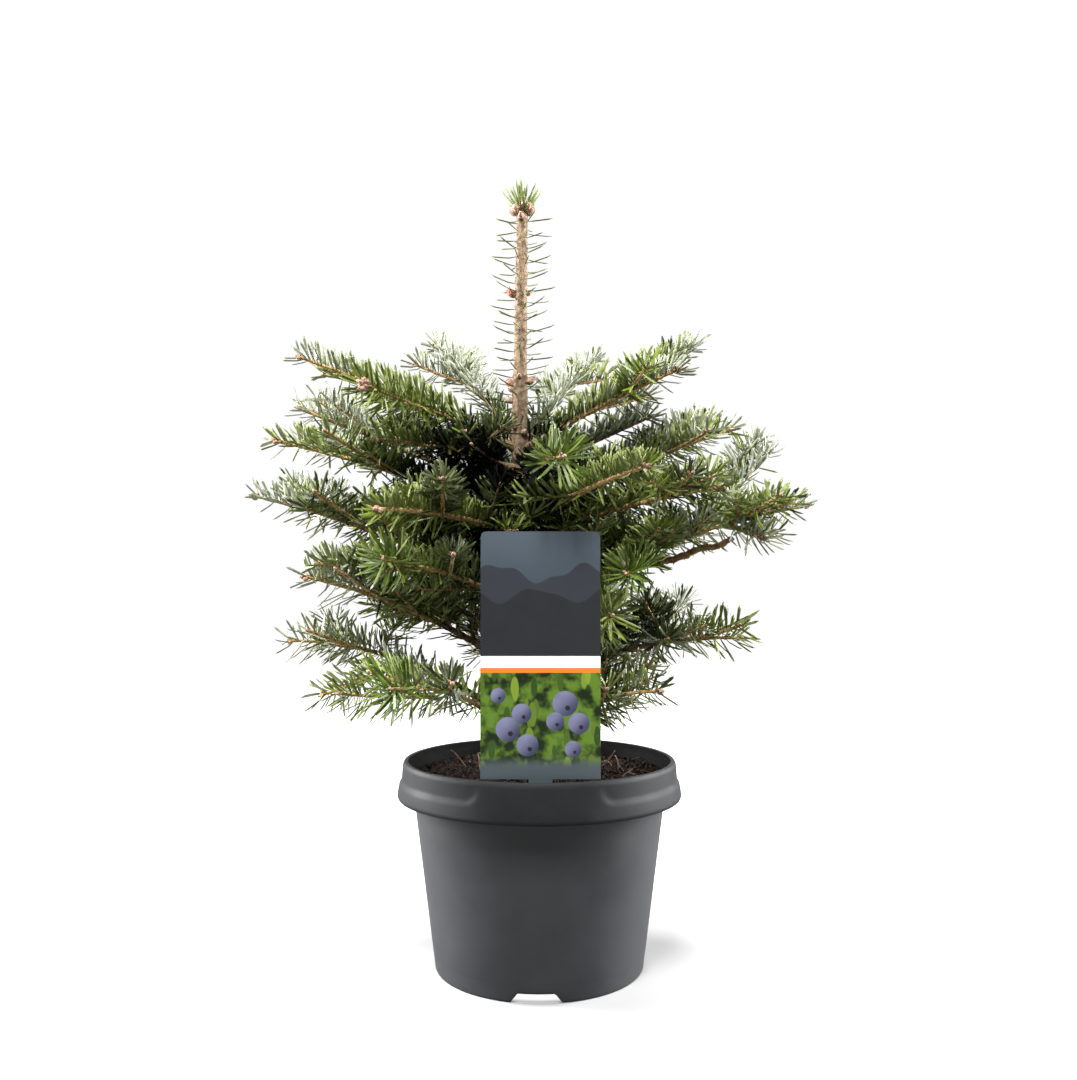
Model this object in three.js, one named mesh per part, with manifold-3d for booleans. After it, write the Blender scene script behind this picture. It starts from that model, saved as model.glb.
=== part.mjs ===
// Young korean fir in a round nursery pot. Millimetres, +Z up, origin at the middle of the pot's underside.
import * as THREE from "three";
import { mergeVertices } from "three/addons/utils/BufferGeometryUtils.js";
import Module from "manifold-3d";

const wasm = await Module();
wasm.setup();

// clear distance between neighbouring solids
const gap = 0.3;
// largest crumb, in cubic millimetres, left where two blades cross
const crumb = 0.01;

// pot
const potHeight = 115.2;
const floorThickness = 6.5;
const wallThickness = 1.3;
const wallFootRadius = 58.4;
const wallSlope = 0.1311;
const lipRadius = 76.4;
const skirtRadius = 80.2;
const skirtFoot = 94.4;
const potSides = 40;
const raisedZones = 3;
const raisedHalfAngle = 26;
const recessFoot = 100.5;
const recessTop = 112.6;
const notchWidth = 23;
const notchHeight = 4.5;

// soil
const soilEdge = 105;
const soilMiddle = 107;

// plant label
const cardWidth = 61;
const cardFoot = 115.6;
const cardTop = 241;
const cardThickness = 0.8;
const cardFront = -67.4;
const cardShift = 0.5;
const tongueWidth = 12;
const tongueFoot = 92;

// trunk
const trunkFoot = 100.3;
const trunkTop = 430;
const flareRadius = 12;
const trunkFootRadius = 7.2;
const trunkTopRadius = 3.3;
const trunkFootX = -2;
const trunkBendX = -11.5;
const trunkBend = 300;
const trunkTopX = -10;
const leaderNeedles = 22;
const leaderNeedlesFrom = 300;
const leaderNeedleLength = 14;

// boughs and shoots
const boughRadius = 2.6;
const boughTipRadius = 2.1;
const stemHalfWidth = 1.7;
const shootHalfWidth = 1.3;
const coreThickness = 2.2;
const shootSpacing = 6;
const seededShoots = 2;

// needles and buds
const toothLength = 16;
const toothPitch = 10.4;
const toothTipThickness = 0.5;
// how far, in degrees, neighbouring teeth rise above or hang below their limb
const toothRises = [46, 4, -32];
const needleWidth = 3;
const needleThickness = 1.8;
const budRadius = 2.3;

// one row a bough: name, height on the trunk, azimuth, reach, height of its tip,
// bare share of its length, upward bow, further shoot tips as azimuth, reach, height
const boughRows = [
  ["top_left", 291, 189, 125, 341, 0.25, 2, [[217, 100, 318]]],
  ["top_right", 290, 341, 93, 332, 0.25, 2, [[6, 101, 353]]],
  ["top_back_left", 294, 126, 99, 372, 0.25, 2, []],
  ["top_back_right", 293, 60, 98, 362, 0.25, 2, []],
  ["top_front", 272, 282, 92, 277, 0.25, 3, []],
  ["top_front_left", 279, 207, 87, 292, 0, 3, []],
  ["upper_left", 250, 188, 138, 294, 0.3, 4, []],
  ["upper_back_left", 257, 157, 154, 327, 0.3, 4, []],
  ["upper_right", 249, 355, 120, 301, 0.3, 4, [[16, 109, 311]]],
  ["upper_front_right", 245, 305, 110, 272, 0.3, 4, []],
  ["upper_front_left", 240, 232, 114, 251, 0.3, 4, [[246, 93, 266]]],
  ["upper_low_right", 238, 335, 117, 265, 0.3, 4, []],
  ["upper_back", 250, 98, 125, 315, 0.3, 4, [[68, 116, 308]]],
  ["middle_right", 204, 353, 160, 258, 0.35, 6, [[11, 153, 294], [345, 136, 238]]],
  ["middle_left", 204, 192, 149, 262, 0.35, 6, [[168, 144, 275]]],
  ["middle_front_left", 197, 224, 101, 226, 0.35, 6, [[202, 119, 225]]],
  ["middle_front_right", 209, 312, 74, 218, 0, 5, []],
  ["middle_back_left", 203, 128, 135, 268, 0.35, 6, []],
  ["middle_back_right", 200, 70, 130, 262, 0.35, 6, []],
  ["lower_left", 160, 194, 124, 218, 0.4, 8, []],
  ["lower_right", 156, 0, 121, 183, 0.4, 8, [[35, 123, 203]]],
  ["lower_front_right", 158, 310, 65, 198, 0, 5, []],
  ["lower_back_left", 155, 135, 125, 208, 0.4, 8, []],
  ["lower_back_right", 161, 85, 120, 210, 0.4, 8, []],
  ["bottom_left", 127, 176, 140, 181, 0.42, 14, [[195, 117, 154]]],
  ["bottom_front_left", 119, 229, 106, 162, 0.42, 12, []],
  ["bottom_front_right", 122, 324, 84, 158, 0, 8, []],
  ["bottom_back", 124, 80, 115, 165, 0.4, 12, [[50, 108, 168], [112, 104, 170]]],
];

const bark = { color: 0x8a7058, roughness: 0.9 };
const green = { color: 0x41693a, roughness: 0.6 };

function seeded(seed) {
  let state = seed >>> 0;
  return () => {
    state = (state + 0x6d2b79f5) >>> 0;
    let t = Math.imul(state ^ (state >>> 15), state | 1);
    t ^= t + Math.imul(t ^ (t >>> 7), t | 61);
    return ((t ^ (t >>> 14)) >>> 0) / 4294967296;
  };
}

// ---- solids from geometry and back

function solid(geometry) {
  const bare = geometry.clone();
  bare.deleteAttribute("normal");
  bare.deleteAttribute("uv");
  const welded = mergeVertices(bare, 1e-4);
  const kept = [];
  for (let i = 0; i < welded.index.count; i += 3) {
    const a = welded.index.getX(i);
    const b = welded.index.getX(i + 1);
    const c = welded.index.getX(i + 2);
    if (a !== b && b !== c && c !== a) kept.push(a, b, c);
  }
  const body = new wasm.Manifold(new wasm.Mesh({
    numProp: 3,
    vertProperties: new Float32Array(welded.attributes.position.array),
    triVerts: new Uint32Array(kept),
  }));
  if (body.volume() <= 0) throw new Error("a solid faces inward");
  return body;
}

// one solid of many; a pocket closed in between crossing pieces is filled and a crumb is dropped
function joined(pieces) {
  const shells = pieces.reduce((whole, piece) => whole.add(piece)).decompose();
  const bodies = shells.filter((shell) => shell.volume() > crumb);
  if (bodies.length !== 1) throw new Error(`${bodies.length} bodies where one was meant`);
  return bodies[0];
}

const group = new THREE.Group();

function addNode(name, body, look) {
  const mesh = body.getMesh();
  const geometry = new THREE.BufferGeometry();
  geometry.setAttribute("position", new THREE.BufferAttribute(new Float32Array(mesh.vertProperties), 3));
  geometry.setIndex(new THREE.BufferAttribute(new Uint32Array(mesh.triVerts), 1));
  geometry.computeVertexNormals();
  const material = new THREE.MeshStandardMaterial({ metalness: 0, ...look });
  const node = new THREE.Mesh(geometry, material);
  node.name = name;
  group.add(node);
}

function turned(profile, sides) {
  const points = profile.map(([r, z]) => new THREE.Vector2(r, z));
  return new THREE.LatheGeometry(points, sides).rotateX(Math.PI / 2);
}

// ---- limbs and needles

const up = new THREE.Vector3(0, 0, 1);

// two directions square to a limb: its upper side and its flank
function crossways(along) {
  const flank = new THREE.Vector3().crossVectors(along, up);
  if (flank.length() < 0.05) flank.set(1, 0, 0);
  flank.normalize();
  const top = new THREE.Vector3().crossVectors(flank, along).normalize();
  return { flank, top };
}

function limb(curve, radiusAt, sides, steps) {
  const geometry = new THREE.CylinderGeometry(1, 1, 1, sides, steps);
  const place = geometry.attributes.position;
  for (let i = 0; i < place.count; i += 1) {
    const t = place.getY(i) + 0.5;
    const radius = radiusAt(t);
    const along = curve.getTangent(t);
    const { flank, top } = crossways(along);
    const point = curve.getPoint(t);
    point.addScaledVector(flank, place.getX(i) * radius);
    point.addScaledVector(top, place.getZ(i) * radius);
    place.setXYZ(i, point.x, point.y, point.z);
  }
  return solid(geometry);
}

function taper(from, to) {
  return (t) => from + (to - from) * t;
}

// a three-sided spindle from root to tip, broad along the twig, widest a little above its root
function needle(root, tip, twig) {
  const along = new THREE.Vector3().subVectors(tip, root);
  const length = along.length();
  along.normalize();
  const broad = twig.clone().addScaledVector(along, -twig.dot(along)).normalize();
  const deep = new THREE.Vector3().crossVectors(broad, along);
  const geometry = new THREE.SphereGeometry(1, 3, 2);
  const place = geometry.attributes.position;
  for (let i = 0; i < place.count; i += 1) {
    const y = place.getY(i);
    const share = Math.abs(y) < 0.01 ? 0.42 : (y + 1) / 2;
    const point = root.clone().addScaledVector(along, share * length);
    point.addScaledVector(broad, place.getX(i) * needleWidth / 2);
    point.addScaledVector(deep, place.getZ(i) * needleThickness / 2);
    place.setXYZ(i, point.x, point.y, point.z);
  }
  return solid(geometry);
}

function bud(centre, along, radius) {
  const geometry = new THREE.OctahedronGeometry(radius);
  geometry.scale(0.85, 0.85, 1.3);
  const turn = new THREE.Quaternion().setFromUnitVectors(up, along);
  geometry.applyQuaternion(turn);
  geometry.translate(centre.x, centre.y, centre.z);
  return solid(geometry);
}

// ---- trunk

// leans to one side up to the top whorl, then stands nearly upright
function trunkX(z) {
  if (z > trunkBend) return trunkBendX + (trunkTopX - trunkBendX) * (z - trunkBend) / (trunkTop - trunkBend);
  return trunkFootX + (trunkBendX - trunkFootX) * (z - trunkFoot) / (trunkBend - trunkFoot);
}

function trunkRadius(z) {
  const share = (z - trunkFoot) / (trunkTop - trunkFoot);
  const flare = (flareRadius - trunkFootRadius) * Math.exp(-(z - trunkFoot) / 6);
  return trunkFootRadius + (trunkTopRadius - trunkFootRadius) * share + flare;
}

function trunkPoint(z) {
  return new THREE.Vector3(trunkX(z), 0, z);
}

function trunkLimb(extra) {
  const rise = trunkTop - trunkFoot;
  // steps close up toward the root flare
  const geometry = new THREE.CylinderGeometry(1, 1, 1, 9, 8);
  const place = geometry.attributes.position;
  for (let i = 0; i < place.count; i += 1) {
    const z = trunkFoot + rise * Math.pow(place.getY(i) + 0.5, 2.2);
    const radius = trunkRadius(z) + extra;
    place.setXYZ(i, trunkX(z) + place.getX(i) * radius, -place.getZ(i) * radius, z);
  }
  return solid(geometry);
}

// ---- where every limb runs

function aboutTrunk(azimuth, reach, z) {
  const angle = THREE.MathUtils.degToRad(azimuth);
  return new THREE.Vector3(trunkX(z) + reach * Math.cos(angle), reach * Math.sin(angle), z);
}

// samples of a bough's run between two shares of its length
function boughCurve(row, from, to) {
  const [, height, azimuth, reach, tipHeight, , bow] = row;
  const root = trunkPoint(height);
  const tip = aboutTrunk(azimuth, reach, tipHeight);
  const points = [];
  for (let i = 0; i <= 5; i += 1) {
    const t = from + (to - from) * i / 5;
    const point = root.clone().lerp(tip, t);
    point.z += bow * 4 * t * (1 - t);
    points.push(point);
  }
  return new THREE.CatmullRomCurve3(points);
}

function segmentsOf(curve, steps) {
  const points = curve.getPoints(steps);
  return points.slice(1).map((point, i) => new THREE.Line3(points[i], point));
}

const nearest = new THREE.Vector3();

function clearance(point, segments) {
  let best = Infinity;
  for (const segment of segments) {
    segment.closestPointToPoint(point, true, nearest);
    best = Math.min(best, nearest.distanceTo(point));
  }
  return best;
}

const masses = boughRows.map((row, i) => {
  const [name, , azimuth, reach, , bare] = row;
  const whole = boughCurve(row, 0, 1);
  const length = whole.getLength();
  const from = bare > 0 ? bare + gap / length : 0;
  const stem = boughCurve(row, from, 1);
  const limbs = bare > 0 ? segmentsOf(boughCurve(row, 0, bare), 4) : [];
  const stemAxes = segmentsOf(stem, 6);
  const random = seeded(100 + i);
  return { name, row, azimuth, reach, bare, stem, limbs, stemAxes, axes: [...stemAxes], shoots: [], random };
});

// a shoot is kept where it stays clear of every other mass and bare limb
function offerShoot(mass, root, tip) {
  const middle = root.clone().lerp(tip, 0.5);
  middle.z -= 1.5;
  const curve = new THREE.QuadraticBezierCurve3(root, middle, tip);
  const axes = segmentsOf(curve, 3);
  const away = axes.flatMap((segment) => [segment.start, segment.end]);
  for (const point of away) {
    const others = masses.filter((other) => other !== mass);
    if (others.some((other) => clearance(point, other.axes) < shootSpacing)) return;
    if (masses.some((other) => other !== mass && clearance(point, other.limbs) < shootSpacing)) return;
    if (clearance(point, mass.limbs) < 4 || !inFreeSpace(point, shootHalfWidth + 2)) return;
  }
  mass.shoots.push({ curve, axes });
  mass.axes.push(...axes);
}

// free of the trunk, the pot, the soil and the label
function inFreeSpace(point, margin) {
  const fromTrunk = Math.hypot(point.x - trunkX(point.z), point.y);
  if (point.z < trunkTop + 4 && fromTrunk < trunkRadius(point.z) + margin) return false;
  if (point.z < potHeight + margin + 1) return false;
  const beforeCard = Math.abs(point.y - cardFront) < margin + 2;
  return !(beforeCard && Math.abs(point.x) < cardWidth / 2 + margin + 2 && point.z < cardTop + margin + 1);
}

for (const mass of masses) {
  for (const [azimuth, reach, z] of mass.row[7]) {
    const turn = THREE.MathUtils.degToRad(azimuth - mass.azimuth);
    const foot = (reach * Math.cos(turn) - Math.abs(reach * Math.sin(turn))) / mass.reach;
    const share = THREE.MathUtils.clamp((foot - mass.bare) / (1 - mass.bare), 0.1, 0.8);
    offerShoot(mass, mass.stem.getPoint(share), aboutTrunk(azimuth, reach, z));
  }
}

for (const mass of masses) {
  for (let i = 0; i < seededShoots; i += 1) {
    const share = 0.3 + 0.22 * i + 0.08 * mass.random();
    const side = i % 2 === 0 ? 1 : -1;
    const length = (0.36 - 0.07 * i) * mass.reach * (0.85 + 0.3 * mass.random());
    const angle = THREE.MathUtils.degToRad(mass.azimuth + side * (44 + 10 * mass.random()));
    const root = mass.stem.getPoint(share);
    const rise = length * (0.18 + 0.2 * mass.random());
    const run = new THREE.Vector3(Math.cos(angle) * length, Math.sin(angle) * length, rise);
    offerShoot(mass, root, root.clone().add(run));
  }
}

// ---- teeth keep to the space nearer their own limb than any other

function inOwnSpace(mass, axes, point, halfWidth) {
  if (!inFreeSpace(point, halfWidth + 0.6)) return false;
  const own = clearance(point, axes);
  const room = 2 * (halfWidth + gap);
  for (const other of masses) {
    if (clearance(point, other.limbs) < boughRadius + halfWidth + gap) return false;
    if (other !== mass && clearance(point, other.axes) < own + room) return false;
  }
  return clearance(point, mass.axes) > own - 0.01;
}

// the longest tooth along a direction that stays in its limb's own space
function toothReach(mass, axes, root, direction, full) {
  for (const share of [1, 0.8, 0.6, 0.4]) {
    const marks = [0.5, 0.8, 1].map((part) => root.clone().addScaledVector(direction, part * full * share));
    const widths = [toothPitch / 4, toothPitch / 9, toothTipThickness];
    if (marks.every((mark, k) => inOwnSpace(mass, axes, mark, widths[k]))) return full * share;
  }
  return 0;
}

// a toothed blade along a limb's run: a thick core and, on both edges, teeth swept forward
function spray(mass, curve, axes, bareShare, halfWidth) {
  const length = curve.getLength();
  const start = bareShare * length;
  const count = Math.max(2, Math.round((length - start) / toothPitch));
  const pitch = (length - start) / count;
  const tips = new Map();
  const edges = { left: [[0, -halfWidth]], right: [[0, halfWidth]] };
  for (const [name, side] of [["right", 1], ["left", -1]]) {
    for (let i = 0; i < count; i += 1) {
      const foot = start + (i + 0.5) * pitch;
      const t = foot / length;
      const along = curve.getTangent(t);
      const { flank, top } = crossways(along);
      const turn = toothRises[(i + (side > 0 ? 0 : 1)) % toothRises.length];
      const rise = THREE.MathUtils.degToRad(turn + 14 * (mass.random() - 0.5));
      const lean = THREE.MathUtils.degToRad(56 - 14 * t + 10 * (mass.random() - 0.5));
      const out = flank.multiplyScalar(side * Math.cos(rise)).addScaledVector(top, Math.sin(rise));
      const direction = along.multiplyScalar(Math.cos(lean)).addScaledVector(out, Math.sin(lean));
      const root = curve.getPoint(t);
      const full = toothLength * (0.88 + 0.24 * mass.random());
      const reach = toothReach(mass, axes, root, direction, full);
      edges[name].push([start + i * pitch, side * halfWidth]);
      if (reach === 0) continue;
      const u = foot + reach * Math.cos(lean);
      const v = side * (halfWidth + reach * Math.sin(lean));
      tips.set(tipKey(u, v), root.addScaledVector(direction, reach));
      edges[name].push([u, v]);
    }
    edges[name].push([length, side * halfWidth]);
  }
  const corners = [...edges.right, ...edges.left.reverse()].map(([u, v]) => new THREE.Vector2(u, v));
  const geometry = new THREE.ExtrudeGeometry(new THREE.Shape(corners), { depth: 1, bevelEnabled: false });
  const place = geometry.attributes.position;
  for (let i = 0; i < place.count; i += 1) {
    const u = place.getX(i);
    const v = place.getY(i);
    const t = Math.min(1, u / length);
    const { flank, top } = crossways(curve.getTangent(t));
    const tip = tips.get(tipKey(u, v));
    const point = tip ? tip.clone() : curve.getPoint(t).addScaledVector(flank, v);
    point.addScaledVector(top, (0.5 - place.getZ(i)) * (tip ? toothTipThickness : coreThickness));
    place.setXYZ(i, point.x, point.y, point.z);
  }
  return solid(geometry);
}

function tipKey(u, v) {
  return `${u.toFixed(2)} ${v.toFixed(2)}`;
}

const trunkRoom = trunkLimb(gap);

function massSolid(mass) {
  const bareShare = mass.bare === 0 ? 0.3 : 0.05;
  const pieces = [spray(mass, mass.stem, mass.stemAxes, bareShare, stemHalfWidth)];
  for (const { curve, axes } of mass.shoots) pieces.push(spray(mass, curve, axes, 0.15, shootHalfWidth));
  pieces.push(bud(mass.stem.getPoint(1), mass.stem.getTangent(1), budRadius));
  const body = joined(pieces);
  return mass.bare > 0 ? body : body.subtract(trunkRoom);
}

// ---- the nodes

function potSolid() {
  const wall = (z) => wallFootRadius + wallSlope * z;
  const body = solid(turned([
    [0, 0],
    [wallFootRadius - 0.8, 0],
    [wallFootRadius, 0.8],
    [wall(potHeight - 1.8), potHeight - 1.8],
    [lipRadius - 1.6, potHeight - 1.8],
    [76.8, 98],
    [77.4, skirtFoot],
    [skirtRadius - 0.8, skirtFoot],
    [skirtRadius, 96],
    [79.7, 99.5],
    [lipRadius + 0.8, potHeight - 1.5],
    [lipRadius, potHeight],
    [lipRadius - 2.3, potHeight],
    [wall(potHeight - 4) - wallThickness, potHeight - 4],
    [wall(floorThickness) - wallThickness, floorThickness],
    [0, floorThickness],
  ], potSides));
  const recess = [[78.4, recessFoot], [84, recessFoot], [84, recessTop], [76.2, recessTop]];
  const ring = solid(turned([...recess, recess[0]], potSides));
  const cuts = [];
  for (let i = 0; i < raisedZones; i += 1) {
    const middle = -90 + 60 + i * 360 / raisedZones;
    const half = 180 / raisedZones - raisedHalfAngle;
    const wedge = new THREE.Shape();
    wedge.moveTo(0, 0);
    for (const turn of [-half, 0, half]) {
      const angle = THREE.MathUtils.degToRad(middle + turn);
      wedge.lineTo(100 * Math.cos(angle), 100 * Math.sin(angle));
    }
    wedge.closePath();
    cuts.push(ring.intersect(solid(new THREE.ExtrudeGeometry(wedge, { depth: 150, bevelEnabled: false }))));
    const notch = new THREE.BoxGeometry(20, notchWidth, 2 * notchHeight);
    notch.translate(53, 0, 0);
    notch.rotateZ(THREE.MathUtils.degToRad(-90 + i * 360 / raisedZones));
    cuts.push(solid(notch));
  }
  return cuts.reduce((pot, cut) => pot.subtract(cut), body);
}

function soilSolid() {
  const inside = (z) => wallFootRadius + wallSlope * z - wallThickness - gap;
  const foot = floorThickness + gap;
  const body = solid(turned([
    [0, foot],
    [inside(foot), foot],
    [inside(soilEdge), soilEdge],
    [0, soilMiddle],
  ], 28));
  const seat = new THREE.CylinderGeometry(flareRadius + gap, flareRadius + gap, 2 * gap, 16);
  seat.rotateX(Math.PI / 2);
  seat.translate(trunkFootX, 0, trunkFoot);
  const slot = new THREE.BoxGeometry(tongueWidth + 2 * gap, 20, 40);
  slot.translate(cardShift, cardFront + cardThickness + gap - 10, tongueFoot - gap + 20);
  return body.subtract(trunkRoom).subtract(solid(seat)).subtract(solid(slot));
}

function labelSolid() {
  const half = cardWidth / 2;
  const tongue = tongueWidth / 2;
  const corner = 3;
  const outline = new THREE.Shape();
  outline.moveTo(-half, cardFoot);
  outline.lineTo(-tongue, cardFoot);
  outline.lineTo(-tongue, tongueFoot + 8);
  outline.lineTo(0, tongueFoot);
  outline.lineTo(tongue, tongueFoot + 8);
  outline.lineTo(tongue, cardFoot);
  outline.lineTo(half, cardFoot);
  outline.lineTo(half, cardTop - corner);
  outline.quadraticCurveTo(half, cardTop, half - corner, cardTop);
  outline.lineTo(-half + corner, cardTop);
  outline.quadraticCurveTo(-half, cardTop, -half, cardTop - corner);
  outline.closePath();
  const sheet = { depth: cardThickness, bevelEnabled: false, curveSegments: 3 };
  const card = new THREE.ExtrudeGeometry(outline, sheet);
  card.rotateX(Math.PI / 2);
  card.translate(cardShift, cardFront + cardThickness, 0);
  return solid(card);
}

function trunkSolid() {
  const random = seeded(7);
  const pieces = [trunkLimb(0)];
  for (let i = 0; i < leaderNeedles; i += 1) {
    const z = leaderNeedlesFrom + (trunkTop - 8 - leaderNeedlesFrom) * (i + random()) / leaderNeedles;
    const angle = i * 2.39996 + 0.5 * random();
    const direction = new THREE.Vector3(Math.cos(angle), Math.sin(angle), 0.1 + 0.35 * random()).normalize();
    const root = trunkPoint(z);
    const reach = trunkRadius(z) + leaderNeedleLength * (0.85 + 0.3 * random());
    const tip = root.clone().addScaledVector(direction, reach);
    const marks = [0.55, 1].map((share) => root.clone().lerp(tip, share));
    const clear = (mark) => masses.every((mass) => clearance(mark, [...mass.axes, ...mass.limbs]) > 5);
    if (marks.every(clear)) pieces.push(needle(root, tip, up));
  }
  for (const z of [329, 381]) {
    for (const side of [-1, 1]) {
      const along = new THREE.Vector3(side, 0, 0.6).normalize();
      pieces.push(bud(trunkPoint(z).addScaledVector(along, trunkRadius(z) + 1), along, 2.4));
    }
  }
  return joined(pieces);
}

function leaderTuftSolid() {
  const random = seeded(8);
  const foot = trunkPoint(trunkTop + gap);
  const top = trunkPoint(trunkTop + 8);
  const pieces = [limb(new THREE.LineCurve3(foot, top), taper(trunkTopRadius, 2.4), 6, 1)];
  for (let i = 0; i < 3; i += 1) {
    const angle = i * 2 * Math.PI / 3;
    const along = new THREE.Vector3(0.5 * Math.cos(angle), 0.5 * Math.sin(angle), 1).normalize();
    pieces.push(bud(top.clone().addScaledVector(along, 1.5), along, 2.8));
  }
  for (let i = 0; i < 8; i += 1) {
    const angle = i * 2.39996;
    const spread = 0.25 + 0.75 * random();
    const direction = new THREE.Vector3(spread * Math.cos(angle), spread * Math.sin(angle), 1).normalize();
    const root = trunkPoint(trunkTop + 4);
    const tip = root.clone().addScaledVector(direction, 11 + 3.5 * random());
    pieces.push(needle(root, tip, new THREE.Vector3(Math.sin(angle), -Math.cos(angle), 0)));
  }
  return joined(pieces);
}

addNode("pot", potSolid(), { color: 0x48494c, roughness: 0.45 });
addNode("soil", soilSolid(), { color: 0x3a2b20, roughness: 1 });
addNode("plant_label", labelSolid(), { color: 0x4c555d, roughness: 0.35 });
addNode("trunk", trunkSolid(), bark);
addNode("foliage_leader", leaderTuftSolid(), green);

for (const mass of masses) {
  if (mass.bare > 0) {
    const bough = limb(boughCurve(mass.row, 0, mass.bare), taper(boughRadius, boughTipRadius), 5, 2);
    addNode(`bough_${mass.name}`, bough.subtract(trunkRoom), bark);
  }
  addNode(`foliage_${mass.name}`, massSolid(mass), green);
}

export default group;
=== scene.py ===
# Young korean fir in a round nursery pot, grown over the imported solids
import math
from collections import namedtuple
from functools import partial

import bmesh
import bpy
import numpy as np
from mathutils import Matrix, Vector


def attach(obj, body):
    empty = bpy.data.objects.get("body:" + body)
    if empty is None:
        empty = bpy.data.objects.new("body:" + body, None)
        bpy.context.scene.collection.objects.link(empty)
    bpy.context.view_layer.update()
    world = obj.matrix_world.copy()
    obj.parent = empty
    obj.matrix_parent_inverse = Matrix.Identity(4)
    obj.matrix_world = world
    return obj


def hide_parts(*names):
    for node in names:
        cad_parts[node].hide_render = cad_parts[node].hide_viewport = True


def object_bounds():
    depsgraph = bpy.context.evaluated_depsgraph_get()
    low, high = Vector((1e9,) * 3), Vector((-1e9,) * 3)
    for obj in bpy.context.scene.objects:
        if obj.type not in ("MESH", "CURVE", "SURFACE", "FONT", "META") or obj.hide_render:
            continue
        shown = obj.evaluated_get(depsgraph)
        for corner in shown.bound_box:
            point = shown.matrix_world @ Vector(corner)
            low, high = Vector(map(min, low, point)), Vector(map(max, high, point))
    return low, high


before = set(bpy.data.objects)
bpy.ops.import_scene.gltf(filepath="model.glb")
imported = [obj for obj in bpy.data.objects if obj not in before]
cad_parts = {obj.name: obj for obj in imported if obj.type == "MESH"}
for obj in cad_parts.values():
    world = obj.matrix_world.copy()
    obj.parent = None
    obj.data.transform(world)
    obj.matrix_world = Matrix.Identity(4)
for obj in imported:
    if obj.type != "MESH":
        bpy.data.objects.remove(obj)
cadLow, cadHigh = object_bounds()

mm = 0.001  # every size below is in millimetres unless it says otherwise
goldenAngle = math.radians(137.508)

# node trees


def addNode(tree, kind, **settings):
    node = tree.nodes.new(kind)
    for key, value in settings.items():
        setattr(node, key, value)
    return node


def joinUp(tree, *pairs):
    for start, end in pairs:
        tree.links.new(start, end)


# each input in turn takes a plain value or another node's output
def feed(tree, inputs, *values):
    for socket, value in zip(inputs, values):
        if isinstance(value, bpy.types.NodeSocket):
            tree.links.new(value, socket)
        else:
            socket.default_value = value


def calcNode(tree, operation, *values):
    node = addNode(tree, "ShaderNodeMath", operation=operation)
    feed(tree, node.inputs, *values)
    return node.outputs[0]


def mixNode(tree, mask, under, over):
    node = addNode(tree, "ShaderNodeMixRGB")
    feed(tree, node.inputs, mask, under, over)
    return node.outputs[0]


# some nodes have sockets for every kind of data; these are the ones of one kind
def ofKind(sockets, kind):
    return [socket for socket in sockets if socket.type == kind]


# runs from 0 to 1 between two values
def rampNode(tree, value, low, high, course="SMOOTHSTEP"):
    node = addNode(tree, "ShaderNodeMapRange", interpolation_type=course)
    feed(tree, node.inputs, value, low, high)
    return node.outputs[0]


def newGroup(name, kind, inputs, outputs):
    tree = bpy.data.node_groups.new(name, kind)
    for label, socketType, value in inputs:
        socket = tree.interface.new_socket(label, in_out="INPUT", socket_type=socketType)
        if value is not None:
            socket.default_value = value
    for label, socketType in outputs:
        tree.interface.new_socket(label, in_out="OUTPUT", socket_type=socketType)
    return tree, tree.nodes.new("NodeGroupInput"), tree.nodes.new("NodeGroupOutput")


def newMaterial(name, **settings):
    look = bpy.data.materials.new(name)
    look.use_nodes = True
    shader = look.node_tree.nodes["Principled BSDF"]
    for label, value in settings.items():
        shader.inputs[label].default_value = value
    return look, look.node_tree, shader


# two colours in soft patches, with the patches as a mask
def makeMottle():
    tree, start, end = newGroup(
        "mottle",
        "ShaderNodeTree",
        (
            ("Color A", "NodeSocketColor", (0.1, 0.1, 0.1, 1)),
            ("Color B", "NodeSocketColor", (0.2, 0.2, 0.2, 1)),
            ("Scale", "NodeSocketFloat", 100.0),
            ("Low", "NodeSocketFloat", 0.35),
            ("High", "NodeSocketFloat", 0.65),
        ),
        (("Color", "NodeSocketColor"), ("Mask", "NodeSocketFloat")),
    )
    place = addNode(tree, "ShaderNodeTexCoord")
    noise = addNode(tree, "ShaderNodeTexNoise")
    noise.inputs["Detail"].default_value = 4.0
    joinUp(tree, (place.outputs["Object"], noise.inputs["Vector"]),
           (start.outputs["Scale"], noise.inputs["Scale"]))
    mask = rampNode(tree, noise.outputs["Fac"], start.outputs["Low"], start.outputs["High"])
    mix = addNode(tree, "ShaderNodeMix", data_type="RGBA")
    feed(tree, ofKind(mix.inputs, "RGBA"), start.outputs["Color A"], start.outputs["Color B"])
    joinUp(tree, (mask, mix.inputs[0]), (mask, end.inputs["Mask"]),
           (ofKind(mix.outputs, "RGBA")[0], end.inputs["Color"]))
    return tree


mottle = makeMottle()


def srgb(red, green, blue):
    def straight(part):
        share = part / 255
        return share / 12.92 if share <= 0.04045 else ((share + 0.055) / 1.055) ** 2.4

    return (straight(red), straight(green), straight(blue), 1)


def addMottle(tree, scale, edges, colors=()):
    node = addNode(tree, "ShaderNodeGroup", node_tree=mottle)
    for label, color in zip(("Color A", "Color B"), colors):
        node.inputs[label].default_value = srgb(*color)
    for label, value in zip(("Scale", "Low", "High"), (scale, *edges)):
        node.inputs[label].default_value = value
    return node


patchEdges = (0.35, 0.65)  # of the noise, between which one colour turns into the other
grainEdges = (0.3, 0.7)  # and a hollow of the relief into a grain


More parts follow.
